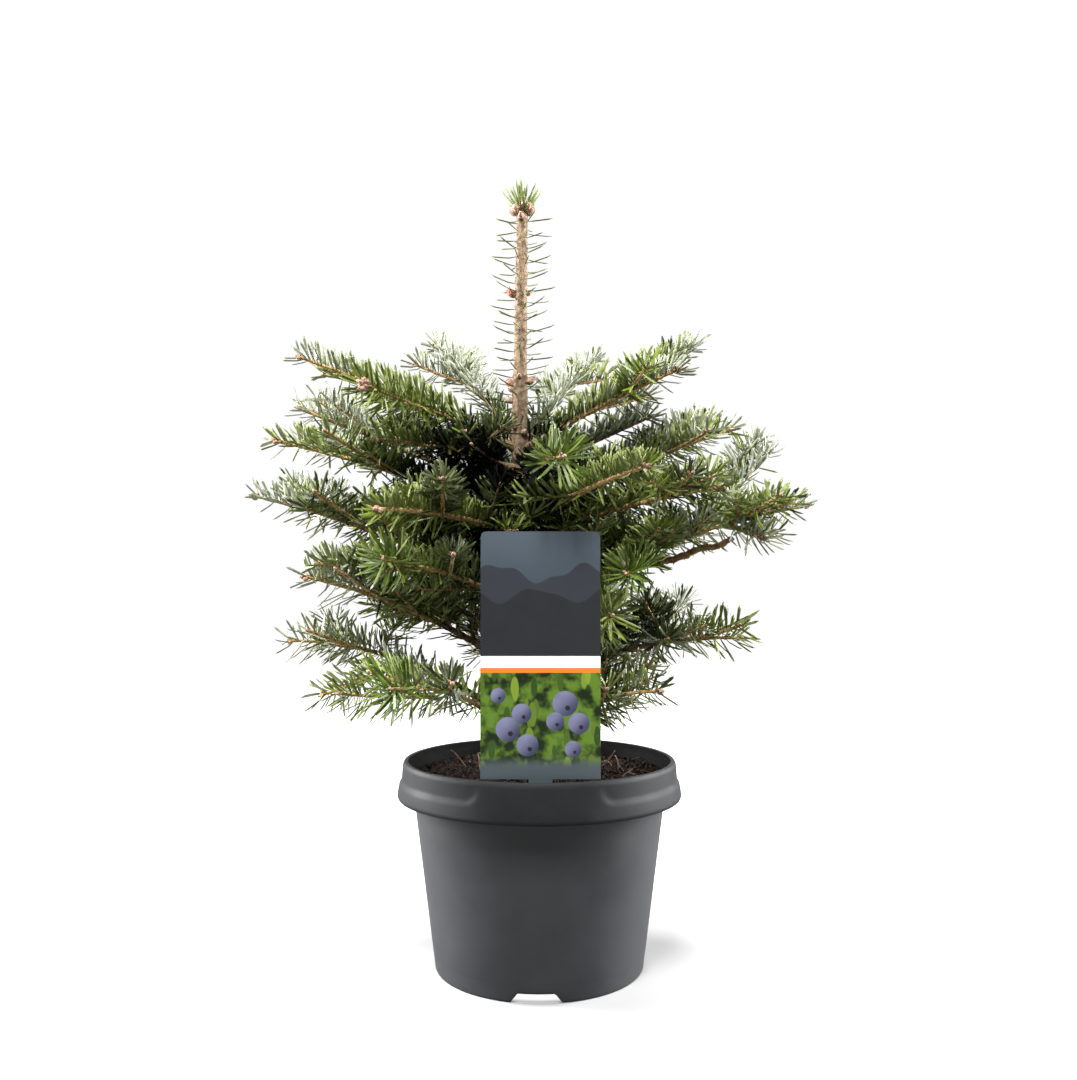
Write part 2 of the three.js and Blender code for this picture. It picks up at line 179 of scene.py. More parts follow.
# a material whose colour comes in patches, and where asked its roughness and relief too
def patchyMaterial(name, colors, scale, roughness, specular=0.5, spread=0.0, relief=0.0, reliefScale=0.0):
    look, tree, shader = newMaterial(name, **{"Roughness": roughness, "Specular IOR Level": specular})
    patches = addMottle(tree, scale, patchEdges, colors)
    joinUp(tree, (patches.outputs["Color"], shader.inputs["Base Color"]))
    if spread:
        rough = addNode(tree, "ShaderNodeMapRange")
        rough.inputs["To Min"].default_value = roughness - spread
        rough.inputs["To Max"].default_value = roughness + spread
        joinUp(tree, (patches.outputs["Mask"], rough.inputs["Value"]),
               (rough.outputs["Result"], shader.inputs["Roughness"]))
    if relief:
        grains = addMottle(tree, reliefScale, grainEdges)
        bump = addNode(tree, "ShaderNodeBump")
        bump.inputs["Strength"].default_value = 1.0
        bump.inputs["Distance"].default_value = relief * mm
        joinUp(tree, (grains.outputs["Mask"], bump.inputs["Height"]),
               (bump.outputs["Normal"], shader.inputs["Normal"]))
    return look


# camera, lights and floor

view = {
    "place": (-0.0005, -0.600, 0.21578),  # metres
    "tiltUp": 2.24,  # degrees above level
    "lens": 34.83,
    "sensor": 36.0,
}

studio = {
    "skyLight": 0.06,  # what the white room sends on to the plant
    "floorReach": 6.0,  # metres to each side
    "floorColor": (0.34, 0.34, 0.34, 1),
    "floorBounce": 0.40,  # how much of its light the floor sends on, against the eye
    "glowReach": (0.072, 0.22),  # metres from the pot's middle over which the floor turns white
    "underGlow": (0.058, 0.052),  # metres from the pot's middle: painted light, the floor under the pot glows white where its shade falls, seen through the notches
    # name, place, aimed at, size and power in watts
    "lamps": (
        ("lampTop", (-0.65, -0.10, 1.20), (0, 0, 0.15), 0.30, 16.0),
        ("lampLeft", (-1.05, 0.28, 0.50), (0, 0, 0.22), 0.6, 46.0),
        ("lampRight", (1.05, 0.22, 0.50), (0, 0, 0.22), 0.6, 46.0),
        ("lampBack", (0.1, 1.1, 0.95), (0, 0, 0.3), 0.8, 8.0),
        ("lampFront", (-0.12, -0.72, 1.25), (0, 0, 0.10), 0.35, 31.0),
    ),
}


def addObject(name, data):
    made = bpy.data.objects.new(name, data)
    bpy.context.scene.collection.objects.link(made)
    return made


def makeCamera():
    data = bpy.data.cameras.new("camera")
    data.sensor_width = view["sensor"]
    data.lens = view["lens"]
    data.clip_start = 0.01
    data.clip_end = 60
    camera = addObject("camera", data)
    camera.location = view["place"]
    camera.rotation_euler = (math.radians(90 + view["tiltUp"]), 0, 0)
    bpy.context.scene.camera = camera


def makeLamp(name, place, aim, size, power):
    data = bpy.data.lights.new(name, "AREA")
    data.shape = "SQUARE"
    data.size = size
    data.energy = power
    lamp = addObject(name, data)
    lamp.location = place
    aside = np.subtract(aim, place)
    lamp.rotation_euler = (
        math.acos(-aside[2] / np.linalg.norm(aside)),
        0,
        math.atan2(aside[1], aside[0]) - math.pi / 2,
    )


def makeWorld():
    world = bpy.data.worlds.new("whiteRoom")
    world.use_nodes = True
    tree = world.node_tree
    tree.nodes.clear()
    mix = addNode(tree, "ShaderNodeMixShader")
    # what falls on the plant, then what the camera sees
    for socket, strength in zip(mix.inputs[1:], (studio["skyLight"], 1.0)):
        white = addNode(tree, "ShaderNodeBackground")
        feed(tree, white.inputs, (1, 1, 1, 1), strength)
        joinUp(tree, (white.outputs[0], socket))
    joinUp(tree, (addNode(tree, "ShaderNodeLightPath").outputs["Is Camera Ray"], mix.inputs[0]),
           (mix.outputs[0], addNode(tree, "ShaderNodeOutputWorld").inputs["Surface"]))
    bpy.context.scene.world = world


def makeFloor():
    mesh = bpy.data.meshes.new("floor")
    reach = studio["floorReach"]
    corners = [(-reach, -reach, 0), (reach, -reach, 0), (reach, reach, 0), (-reach, reach, 0)]
    mesh.from_pydata(corners, [], [(0, 1, 2, 3)])
    floor = addObject("floor", mesh)
    look, tree, shader = newMaterial(
        "paleFloor", **{"Roughness": 0.6, "Specular IOR Level": 0.2, "Emission Color": (1, 1, 1, 1)})
    seen = addNode(tree, "ShaderNodeLightPath").outputs["Is Camera Ray"]
    away = addNode(tree, "ShaderNodeVectorMath", operation="LENGTH")
    joinUp(tree, (addNode(tree, "ShaderNodeTexCoord").outputs["Object"], away.inputs[0]))
    glow = rampNode(tree, away.outputs["Value"], *studio["glowReach"])
    # painted light: the floor glows white under the pot
    under = rampNode(tree, away.outputs["Value"], *studio["underGlow"], "LINEAR")
    shown = calcNode(tree, "MULTIPLY", calcNode(tree, "MAXIMUM", glow, under), seen)
    dim = tuple(part * studio["floorBounce"] for part in studio["floorColor"][:3]) + (1,)
    tone = mixNode(tree, seen, dim, studio["floorColor"])
    joinUp(tree, (shown, shader.inputs["Emission Strength"]), (tone, shader.inputs["Base Color"]))
    mesh.materials.append(look)


makeCamera()
makeWorld()
for lampRow in studio["lamps"]:
    makeLamp(*lampRow)
makeFloor()
bpy.context.scene.view_settings.view_transform = "Standard"
bpy.context.scene.view_settings.look = "None"
print("camera, lights and floor are set")

# meshes from arrays


# vertices and faces of many parts, joined as they come, with numbers kept for each vertex
class Pile:
    def __init__(self, *labels):
        self.points, self.faces, self.count = [], [], 0
        self.values = {label: [] for label in labels}

    def add(self, points, faces, **values):
        self.points.append(points)
        self.faces += [tuple(corner + self.count for corner in face) for face in faces]
        self.count += len(points)
        for label, kept in self.values.items():
            kept.append(np.broadcast_to(values.get(label, 0.0), len(points)))

    def build(self, name):
        mesh = bpy.data.meshes.new(name)
        mesh.from_pydata((np.vstack(self.points) * mm).tolist(), [], self.faces)
        for label, kept in self.values.items():
            layer = mesh.attributes.new(label, "FLOAT", "POINT")
            layer.data.foreach_set("value", np.concatenate(kept).astype(np.float32))
        mesh.polygons.foreach_set("use_smooth", [True] * len(mesh.polygons))
        mesh.update()
        return addObject(name, mesh)


def pileOf(points, faces):
    pile = Pile()
    pile.add(points, faces)
    return pile


def unit(vector):
    return vector / np.linalg.norm(vector, axis=-1, keepdims=True)


# the part of a direction that stands square to another
def squared(vector, direction):
    return unit(vector - direction * (vector * direction).sum(-1, keepdims=True))


def softStep(value, low, high):
    share = np.clip((value - low) / (high - low), 0, 1)
    return share * share * (3 - 2 * share)


# upper side and flank of a limb that runs along these directions
def crossways(along):
    flank = np.cross(along, (0.0, 0.0, 1.0))
    upright = np.linalg.norm(flank, axis=-1) < 0.05
    flank[upright] = (1.0, 0.0, 0.0)
    flank = unit(flank)
    return flank, unit(np.cross(flank, along))


# faces between rings of points, each ring in turn
def bandFaces(rings, sides, flipped=False):
    faces = []
    for i in range(rings - 1):
        for j in range(sides):
            k = (j + 1) % sides
            faces.append((i * sides + j, i * sides + k, (i + 1) * sides + k, (i + 1) * sides + j))
    return [face[:1] + face[:0:-1] for face in faces] if flipped else faces


# the same with both ends closed to points that follow the rings
def closedFaces(rings, sides, flipped=False):
    last = (rings - 1) * sides
    ends = []
    for j in range(sides):
        k = (j + 1) % sides
        ends += [(rings * sides, k, j), (rings * sides + 1, last + j, last + k)]
    return bandFaces(rings, sides, flipped) + ([face[:1] + face[:0:-1] for face in ends] if flipped else ends)


# a closed tube round a path; radii is one number a ring, or one a ring and side
def tube(path, radii, sides):
    rings = len(path)
    along = unit(np.gradient(path, axis=0))
    flank, top = crossways(along)
    angles = np.arange(sides) * 2 * math.pi / sides
    radii = np.broadcast_to(np.asarray(radii, float).reshape(rings, -1), (rings, sides))
    ring = (
        path[:, None, :]
        + flank[:, None, :] * (radii * np.cos(angles))[:, :, None]
        + top[:, None, :] * (radii * np.sin(angles))[:, :, None]
    )
    points = np.vstack([ring.reshape(-1, 3), path[:1], path[-1:]])
    return points, closedFaces(rings, sides)


# how the plant grows, by the same rule as its solids

plant = {
    "trunkFoot": 100.3,
    "trunkTop": 430.0,
    "trunkBend": 300.0,
    "trunkXs": (-2.0, -11.5, -10.0),  # at the foot, the bend and the top
    "flareRadius": 12.0,
    "footRadius": 7.2,
    "topRadius": 3.3,
    "boughRadius": 2.6,
    "boughTipRadius": 2.1,
    "tipRadius": 0.9,
    "stemRadius": 1.75,
    "shootRadius": 1.25,
    "twigRadius": 0.9,
    "shootSpacing": 6.0,
    "gap": 0.3,
    "potHeight": 115.2,
    "cardFront": -67.4,
    "cardHalf": 30.5,
    "cardTop": 241.0,
}

# bare is the share of it without a mass of needles, and shoots are further tips as azimuth, reach, height
Bough = namedtuple("Bough", "name height azimuth reach tipHeight bare bow shoots")
boughs = [Bough(*row) for row in (
    ("top_left", 291, 189, 125, 341, 0.25, 2, ((217, 100, 318),)),
    ("top_right", 290, 341, 93, 332, 0.25, 2, ((6, 101, 353),)),
    ("top_back_left", 294, 126, 99, 372, 0.25, 2, ()),
    ("top_back_right", 293, 60, 98, 362, 0.25, 2, ()),
    ("top_front", 272, 282, 92, 277, 0.25, 3, ()),
    ("top_front_left", 279, 207, 87, 292, 0, 3, ()),
    ("upper_left", 250, 188, 138, 294, 0.3, 4, ()),
    ("upper_back_left", 257, 157, 154, 327, 0.3, 4, ()),
    ("upper_right", 249, 355, 120, 301, 0.3, 4, ((16, 109, 311),)),
    ("upper_front_right", 245, 305, 110, 272, 0.3, 4, ()),
    ("upper_front_left", 240, 232, 114, 251, 0.3, 4, ((246, 93, 266),)),
    ("upper_low_right", 238, 335, 117, 265, 0.3, 4, ()),
    ("upper_back", 250, 98, 125, 315, 0.3, 4, ((68, 116, 308),)),
    ("middle_right", 204, 353, 160, 258, 0.35, 6, ((11, 153, 294), (345, 136, 238))),
    ("middle_left", 204, 192, 149, 262, 0.35, 6, ((168, 144, 275),)),
    ("middle_front_left", 197, 224, 101, 226, 0.35, 6, ((202, 119, 225),)),
    ("middle_front_right", 209, 312, 74, 218, 0, 5, ()),
    ("middle_back_left", 203, 128, 135, 268, 0.35, 6, ()),
    ("middle_back_right", 200, 70, 130, 262, 0.35, 6, ()),
    ("lower_left", 160, 194, 124, 218, 0.4, 8, ()),
    ("lower_right", 156, 0, 121, 183, 0.4, 8, ((35, 123, 203),)),
    ("lower_front_right", 158, 310, 65, 198, 0, 5, ()),
    ("lower_back_left", 155, 135, 125, 208, 0.4, 8, ()),
    ("lower_back_right", 161, 85, 120, 210, 0.4, 8, ()),
    ("bottom_left", 127, 176, 140, 181, 0.42, 14, ((195, 117, 154),)),
    ("bottom_front_left", 119, 229, 106, 162, 0.42, 12, ()),
    ("bottom_front_right", 122, 324, 84, 158, 0, 8, ()),
    ("bottom_back", 124, 80, 115, 165, 0.4, 12, ((50, 108, 168), (112, 104, 170))),
)]
orderOf = {bough.name: order for order, bough in enumerate(boughs)}

wordMask = 0xFFFFFFFF


def seeded(seed):
    state = seed & wordMask

    def draw():
        nonlocal state
        state = (state + 0x6D2B79F5) & wordMask
        t = ((state ^ (state >> 15)) * (state | 1)) & wordMask
        t ^= (t + (((t ^ (t >> 7)) * (t | 61)) & wordMask)) & wordMask
        return (t ^ (t >> 14)) / 4294967296

    return draw


def trunkX(z):
    footX, bendX, topX = plant["trunkXs"]
    foot, bend, top = plant["trunkFoot"], plant["trunkBend"], plant["trunkTop"]
    if z > bend:
        return bendX + (topX - bendX) * (z - bend) / (top - bend)
    return footX + (bendX - footX) * (z - foot) / (bend - foot)


def trunkRadius(z):
    share = (z - plant["trunkFoot"]) / (plant["trunkTop"] - plant["trunkFoot"])
    flare = (plant["flareRadius"] - plant["footRadius"]) * math.exp(-(z - plant["trunkFoot"]) / 6)
    return plant["footRadius"] + (plant["topRadius"] - plant["footRadius"]) * share + flare


def trunkPoint(z):
    return np.array((trunkX(z), 0.0, z))


def aboutTrunk(azimuth, reach, z):
    angle = math.radians(azimuth)
    return np.array((trunkX(z) + reach * math.cos(angle), reach * math.sin(angle), z))


# points of a bough's run between two shares of its length
def boughRun(row, start, end, steps):
    t = np.linspace(start, end, steps + 1)[:, None]
    root = trunkPoint(row.height)
    run = root + (aboutTrunk(row.azimuth, row.reach, row.tipHeight) - root) * t
    run[:, 2] += (row.bow * 4 * t * (1 - t))[:, 0]
    return run


def clearance(point, segments):
    if not len(segments):
        return math.inf
    start, end = segments[:, 0], segments[:, 1]
    run = end - start
    share = np.clip(((point - start) * run).sum(1) / (run * run).sum(1), 0, 1)
    return np.linalg.norm(start + run * share[:, None] - point, axis=1).min()


def segmentsOf(points):
    return np.stack([points[:-1], points[1:]], axis=1)


def inFreeSpace(point, margin):
    fromTrunk = math.hypot(point[0] - trunkX(point[2]), point[1])
    if point[2] < plant["trunkTop"] + 4 and fromTrunk < trunkRadius(point[2]) + margin:
        return False
    if point[2] < plant["potHeight"] + margin + 1:
        return False
    beforeCard = abs(point[1] - plant["cardFront"]) < margin + 2
    besideCard = abs(point[0]) < plant["cardHalf"] + margin + 2
    return not (beforeCard and besideCard and point[2] < plant["cardTop"] + margin + 1)


def bezier(root, tip, sag, steps):
    middle = (root + tip) / 2
    middle[2] -= sag
    t = np.linspace(0, 1, steps + 1)[:, None]
    return root * (1 - t) ** 2 + middle * 2 * t * (1 - t) + tip * t * t


masses = []
for order, row in enumerate(boughs):
    length = np.linalg.norm(np.diff(boughRun(row, 0, 1, 12), axis=0), axis=1).sum()
    start = row.bare + plant["gap"] / length if row.bare else 0.0
    stemAxes = segmentsOf(boughRun(row, start, 1, 6))
    masses.append({
        "row": row,
        "start": start,
        "limbs": segmentsOf(boughRun(row, 0, row.bare, 4)) if row.bare else np.zeros((0, 2, 3)),
        "axes": stemAxes,
        "shoots": [],
        "random": seeded(100 + order),
    })


def stemPoint(mass, share):
    t = mass["start"] + (1 - mass["start"]) * share
    return boughRun(mass["row"], t, t, 0)[0]


# a shoot is kept where it stays clear of every other mass and bare limb
def offerShoot(mass, root, tip):
    run = bezier(root, tip, 1.5, 3)
    spacing = plant["shootSpacing"]
    for point in run:
        for other in masses:
            if other is mass:
                continue
            if clearance(point, other["axes"]) < spacing or clearance(point, other["limbs"]) < spacing:
                return
        if clearance(point, mass["limbs"]) < 4 or not inFreeSpace(point, 3.3):
            return
    mass["shoots"].append((root, tip))
    mass["axes"] = np.concatenate([mass["axes"], segmentsOf(run)])


for mass in masses:
    row = mass["row"]
    for azimuth, reach, z in row.shoots:
        turn = math.radians(azimuth - row.azimuth)
        foot = (reach * math.cos(turn) - abs(reach * math.sin(turn))) / row.reach
        share = min(0.8, max(0.1, (foot - row.bare) / (1 - row.bare)))
        offerShoot(mass, stemPoint(mass, share), aboutTrunk(azimuth, reach, z))

for mass in masses:
    draw = mass["random"]
    for i in range(2):
        share = 0.3 + 0.22 * i + 0.08 * draw()
        side = 1 if i % 2 == 0 else -1
        length = (0.36 - 0.07 * i) * mass["row"].reach * (0.85 + 0.3 * draw())
        angle = math.radians(mass["row"].azimuth + side * (44 + 10 * draw()))
        root = stemPoint(mass, share)
        rise = length * (0.18 + 0.2 * draw())
        run = np.array((math.cos(angle) * length, math.sin(angle) * length, rise))
        offerShoot(mass, root, root + run)

# finer twigs on the stems and shoots

fineTwigs = {
    "step": 1.4,  # between the rings of a run
    "spacing": 21.0,
    "stemTwig": 44.0,
    "shootTwig": 27.0,
    "lastShare": 0.62,
    "chance": 0.62,
    "lowChance": 0.38,  # on the lower boughs
    "angle": 44.0,
    "clear": 7.5,  # from any other twig
    # these have none
    "plainMasses": ("top_left", "top_back_left", "top_back_right", "top_front", "top_right",
                    "upper_front_right", "upper_front_left"),
    # and these no shoots but the stated ones
    "bareStems": ("top_front", "upper_front_right", "upper_front_left"),
    "seed": 2100,
}
thinRadii = (plant["shootRadius"], plant["tipRadius"])


def twigRun(root, tip, sag):
    steps = max(4, int(np.linalg.norm(tip - root) / fineTwigs["step"]))
    return bezier(root, tip, sag, steps)


def beforeCard(points, room=2.5):
    points = np.atleast_2d(points)
    across = np.abs(points[:, 0] - 0.5) < plant["cardHalf"] + room
    return across & (points[:, 1] < plant["cardFront"] + room) & (points[:, 2] < plant["cardTop"] + room)


sprays = []  # every run that bears needles
takenAxes = [np.concatenate([mass["axes"] for mass in masses])]


# bare is the share of the run before its first needle; chosen ones are listed
def addSpray(kind, order, path, radii, bare, chosen=False):
    sprays.append({"kind": kind, "mass": order, "name": boughs[order].name, "path": path, "radii": radii,
                   "bare": bare, "chosen": chosen})


for order, mass in enumerate(masses):
    row = mass["row"]
    steps = int(row.reach * (1 - row.bare) / fineTwigs["step"])
    run = boughRun(row, max(0.0, row.bare - 0.015), 1, steps)
    addSpray("stem", order, run, (plant["stemRadius"], plant["tipRadius"]), 0.0 if row.bare else 0.1)
    for root, tip in mass["shoots"]:
        chosen = any(np.allclose(tip, aboutTrunk(*place)) for place in row.shoots)
        # the thick shoot at the top left hides what grows in front of it
        inTheWay = row.name == "top_left" and tip[1] < root[1] - 5 or row.name in fineTwigs["bareStems"]
        if (chosen or not inTheWay) and not beforeCard(tip, 8)[0]:
            addSpray("shoot", order, twigRun(root, tip, 1.5), thinRadii, 0.06, chosen)

boxLow = np.array(cadLow) / mm
boxHigh = np.array(cadHigh) / mm


def insideBox(point, margin):
    return bool(np.all(point > boxLow + margin) and np.all(point < boxHigh - margin))


def offerTwig(spray, share, side, length, draw):
    path = spray["path"]
    place = min(len(path) - 2, int(share * (len(path) - 1)))
    along = unit(path[place + 1] - path[place])
    flank, top = crossways(along[None, :].copy())
    angle = math.radians(fineTwigs["angle"] + 16 * (draw() - 0.5))
    out = flank[0] * side * math.sin(angle) + along * math.cos(angle) + top[0] * (0.34 * draw() - 0.06)
    root = path[place]
    tip = root + unit(out) * length
    if not insideBox(tip, 9) or not inFreeSpace(tip, 3) or beforeCard(tip, 8)[0]:
        return
    every = np.concatenate(takenAxes)
    for part in (0.55, 1.0):
        if clearance(root + (tip - root) * part, every) < fineTwigs["clear"]:
            return
    run = twigRun(root, tip, 1.0)
    takenAxes.append(segmentsOf(run[::2]))
    addSpray("twig", spray["mass"], run, (plant["twigRadius"], 0.75), 0.1)


drawTwig = seeded(fineTwigs["seed"])
for spray in list(sprays):
    if spray["name"] in fineTwigs["plainMasses"]:
        continue
    runLength = np.linalg.norm(np.diff(spray["path"], axis=0), axis=1).sum()
    full = fineTwigs["stemTwig"] if spray["kind"] == "stem" else fineTwigs["shootTwig"]
    chance = fineTwigs["lowChance" if spray["name"].startswith(("lower", "bottom")) else "chance"]
    for i in range(int(runLength / fineTwigs["spacing"])):
        share = (i + 0.4 + 0.4 * drawTwig()) * fineTwigs["spacing"] / runLength
        if share > fineTwigs["lastShare"]:
            break
        for side in (-1, 1):
            if drawTwig() < chance:
                length = full * (1.05 - 0.5 * share) * (0.75 + 0.5 * drawTwig())
                offerTwig(spray, share, side, length, drawTwig)

# short full shoots at the front, seen from their tips: mass, root, tip, tone
stars = (
    ("middle_front_right", (60, -10, 227), (45, -59, 219.5), 5),
    ("lower_front_right", (24, -18, 196), (38, -52, 198), 1),
    ("bottom_front_left", (-61.7, -67, 161.6), (-73, -86, 163), 5),
    ("middle_front_left", (-67, -57, 224.3), (-78, -77, 226.5), 5),
    ("top_front", (5.3, -71, 278), (12, -90, 277), 5),
)
starShare = 0.72  # of the stem, where its star goes on from it

# more shoots where a bough carries two that run alongside each other: mass, root, tip
sideShoots = (
    ("upper_right", (24, 12, 276), (100, 36, 311)),
    ("top_right", (10, 8, 288), (66, 14, 313)),
    ("middle_right", (108, 20, 270), (133, 34, 302)),
    ("bottom_left", (-56, -22, 152), (-104, -52, 157)),
    ("bottom_front_right", (22, -12, 150), (60, -30, 170)),
)


def addPlaced(kind, name, root, tip, sag, bare, chosen=False):
    run = twigRun(np.array(root, float), np.array(tip, float), sag)
    takenAxes.append(segmentsOf(run[::3]))
    addSpray(kind, orderOf[name], run, thinRadii, bare, chosen)


for name, root, tip in sideShoots:
    addPlaced("shoot", name, root, tip, 1.5, 0.06, chosen=True)
for name, root, tip, _ in stars:
    for spray in sprays:
        if spray["name"] == name and spray["kind"] == "stem":
            spray["path"] = spray["path"][: int(starShare * len(spray["path"]))]
    addPlaced("star", name, root, tip, 1.0, 0.1)

# short dark twigs that fill the hollows between the boughs
innerTwigs = {
    "tries": 2600,
    "reach": 92.0,
    "length": (24.0, 40.0),
    "clear": 8.6,
    "lowClear": 13.0,  # below lowHeight
    "lowHeight": 200.0,
    "airySide": -12.0,  # none below lowHeight on this side
    "lowest": 150.0,
    "highest": 292.0,
    "front": -44.0,
    "seed": 2300,
}


def fillInside():
    draw = np.random.default_rng(innerTwigs["seed"])
    for _ in range(innerTwigs["tries"]):
        order = int(draw.integers(0, len(masses)))
        row = boughs[order]
        t = draw.uniform(0.12, 0.68)
        root = boughRun(row, t, t, 0)[0]
        out = unit(aboutTrunk(row.azimuth, 1, root[2]) - trunkPoint(root[2]))
        heading = unit(draw.normal(0, 1, 3) + out * 0.9 + np.array((0, 0, 0.35)))
        if heading[2] < -0.12:
            continue
        tip = root + heading * draw.uniform(*innerTwigs["length"])
        away = math.hypot(tip[0] - trunkX(tip[2]), tip[1])
        level = innerTwigs["lowest"] <= tip[2] <= innerTwigs["highest"] and tip[1] > innerTwigs["front"]
        airy = tip[0] < innerTwigs["airySide"] and tip[2] < innerTwigs["lowHeight"]
        if away > innerTwigs["reach"] or airy or not level:
            continue
        if not inFreeSpace(tip, 3) or not insideBox(tip, 9):
            continue
        clear = innerTwigs["clear"] if tip[2] > innerTwigs["lowHeight"] else innerTwigs["lowClear"]
        every = np.concatenate(takenAxes)
        if min(clearance(root + (tip - root) * part, every) for part in (0.6, 1.0)) < clear:
            continue
        run = twigRun(root, tip, 1.0)
        takenAxes.append(segmentsOf(run[::3]))
        addSpray("inner", order, run, (plant["twigRadius"], 0.7), 0.08)


fillInside()
print("grown:", len(masses), "stems and", len(sprays) - len(masses), "shoots and twigs")

# needles

needles = {
    "length": 14.3,
    "width": 1.55,
    "thickness": 0.75,
    "variation": 0.10,
    "seed": 77,
    "pieceLimit": 9700,  # needles in one piece
    "inset": 3.6,  # how far inside the part's box they stay
    # needles to the millimetre, by the storey that the name begins with
    "dense": {"top": 2.2, "upper": 1.88, "middle": 1.68, "lower": 1.2, "bottom": 1.25},
    # times as dense on these masses
    "fullness": {"top_back_left": 0.8, "top_back_right": 0.6, "upper_back_left": 0.55, "upper_left": 0.85,
                 "lower_back_left": 0.5, "lower_left": 0.8, "bottom_back": 0.7, "upper_front_right": 1.5,
                 "upper_front_left": 1.45, "top_front": 1.3, "top_right": 1.25},
    "outer": 0.72,  # as dense at the far end of a stem, and of the rest
    "outerTwig": 0.9,
    "innerDense": 2.2,
    "starDense": 3.0,
    "chosenDense": 1.25,  # times as dense on the listed shoots
    "longer": {"lower": 1.12, "bottom": 1.04},
    "kindLengths": {"stem": 1.0, "shoot": 0.97, "twig": 0.88, "inner": 0.9, "star": 1.25},
    "ringedLength": 1.1,
    "endOnLength": 0.92,
    "comb": (62.0, 118.0),  # degrees to each side of the upper side that most of them stand in
    "lean": (58.0, 80.0),  # degrees from the twig
    # share of them that hang below
    "hanging": {"top": 0.07, "upper": 0.09, "middle": 0.12, "lower": 0.2, "bottom": 0.34},
    "ringed": ("top_front_left", "middle_front_left", "bottom_front_left"),  # stems that end in a rosette
    "ringedReach": 24.0,  # how far from the tip they fan out, and on the others
    "plainReach": 9.0,
    "ringedLean": 70.0,
    # inner twigs are dense with needles this near the trunk, behind this depth and between these heights, and
    # left of the trunk they are painted dark for shade
    "insideReach": 52.0,
    "insideFront": -30.0,
    "insideHeights": (215.0, 300.0),
    "endOn": (-0.75, -60.0),  # a shoot that comes this much forward and this far points at the viewer
    "clearings": (((-92, -67, 318), 7.5), ((-10, -13, 290), 13.0)),  # places and radii with no needles
}

# the thick shoot at the top left, and the younger growth beyond it
thickShoot = {
    "name": "top_left",
    "split": 0.56,  # share of the stem where it ends
    "thick": {"dense": 3.2, "comb": 140.0, "lean": 54.0, "long": 1.26, "outer": 1.0, "hanging": 0.24,
              "tone": 1, "backing": 0, "coreMore": -30.0},
    "beyond": {"dense": 1.25, "comb": 75.0, "lean": 68.0, "tone": 3, "backing": 1},
}

# older needles along the inner boughs, with undersides painted near black for shade
boughNeedles = {"dense": 1.5, "comb": 160.0, "lean": 60.0, "long": 0.95, "outer": 1.0, "hanging": 0.1,
                "ringed": False, "lit": False, "inner": False, "mixed": False, "coreMore": 0, "greyFrom": 2.0,
                "backing": 2}

# the shades of the needles by their numbers
deep, mid, fresh, grey, coreShade, bright = range(6)
backGreen, backPale, backCoreShade, backDeep = range(4)

shades = {
    # sRGB, two shades each: the upper faces, then the undersides
    "uppers": (
        # dark green: a tone dealt out at random, and painted shade near the trunk
        ("needleDeep", (39, 48, 14), (61, 73, 23)),
        ("needleMid", (67, 79, 18), (104, 116, 34)),
        ("needleFresh", (79, 94, 19), (114, 132, 40)),
        ("needleGrey", (111, 117, 88), (145, 149, 120)),
        # near black: painted shade in the hollow of the crown
        ("needleCore", (6, 8, 2), (13, 18, 5)),
        ("needleBright", (54, 74, 10), (89, 110, 23)),
    ),
    "unders": (
        ("needleBackGreen", (101, 113, 54), (137, 148, 88)),
        ("needleBackPale", (136, 142, 123), (176, 180, 163)),
        # near-black undersides: painted shade in the hollow of the crown
        ("needleBackCore", (9, 12, 5), (16, 21, 9)),
        # dark undersides: painted shade near the trunk and on inner twigs
        ("needleBackDeep", (50, 58, 29), (75, 84, 46)),
    ),
    "upperFinish": {"roughness": 0.42, "specular": 0.42},
    "underFinish": {"roughness": 0.6, "specular": 0.25},
    "coreFinish": {"roughness": 0.8, "specular": 0.1},
    "patch": {"scale": 160, "spread": 0.06},
    # how far from the trunk the needles painted near black for shade, and those painted merely dark for
    # shade, reach at these heights
    "heights": (246.0, 264.0, 274.0, 288.0, 300.0),
    "coreReaches": (0.0, 54.0, 60.0, 46.0, 0.0),
    "deepReaches": (44.0, 66.0, 74.0, 64.0, 30.0),
    "coreMore": {"top_front": 2.0, "top_front_left": 6.0},
    "innerReach": 54.0,  # at least this far on the short inner twigs
    "backFrom": 8.0,  # behind this the near-black painted shade reaches only a share as far
    "backShare": 0.8,
    "rightFrom": 2.0,  # and to the right of this, where light comes through
    "rightShare": 0.4,
    "rightDeepShare": 0.7,
    "hollow": ((-27, 273), (23, 17)),  # across and up: beside the stem, where all is in shade
    "hollowCore": (-15, 36),  # how deep that goes, as a middle and a half
    "hollowDeep": (-25, 60),
    "frontFrom": -32.0,  # the needles before this and below the height are lit
    "frontHeight": 263.0,
    "frontDeep": 30.0,
    # the share of the stem from which they turn grey
    "greyFrom": {"middle_left": 0.5, "lower_left": 0.45, "middle_right": 0.8, "top_right": 0.8},
    "silver": ("upper_back_left", "top_back_left"),
    "shady": ("middle_front_right", "lower_front_right"),
    "lit": ("upper_front_right", "upper_front_left"),  # their stems stand out into the light
    "mixed": ("top_right", "upper_right"),  # some of their undersides catch the light
    "mixedShare": 0.36,
    "behind": 22.0,  # sprays whose tips lie behind this mostly show pale undersides
    "before": -45.0,  # and before this none do
    "paleShares": {"behind": 0.8, "inner": 0.35, "low": 0.4, "high": 0.26},
    "dimInside": ((15, 20), (170, 240)),  # inner twigs to the right of and before these, between two heights, are painted dark for shade
}

# share along the needle, half width
needleSections = ((0.0, 0.2), (0.3, 0.45), (0.84, 0.5), (1.0, 0.2))
# how far the tip bends up and sideways in millimetres; the last two hang
needleBends = ((1.4, 0.1), (2.6, 0.4), (0.6, -0.5), (2.0, 1.2), (3.6, 0.6), (3.0, -1.4))


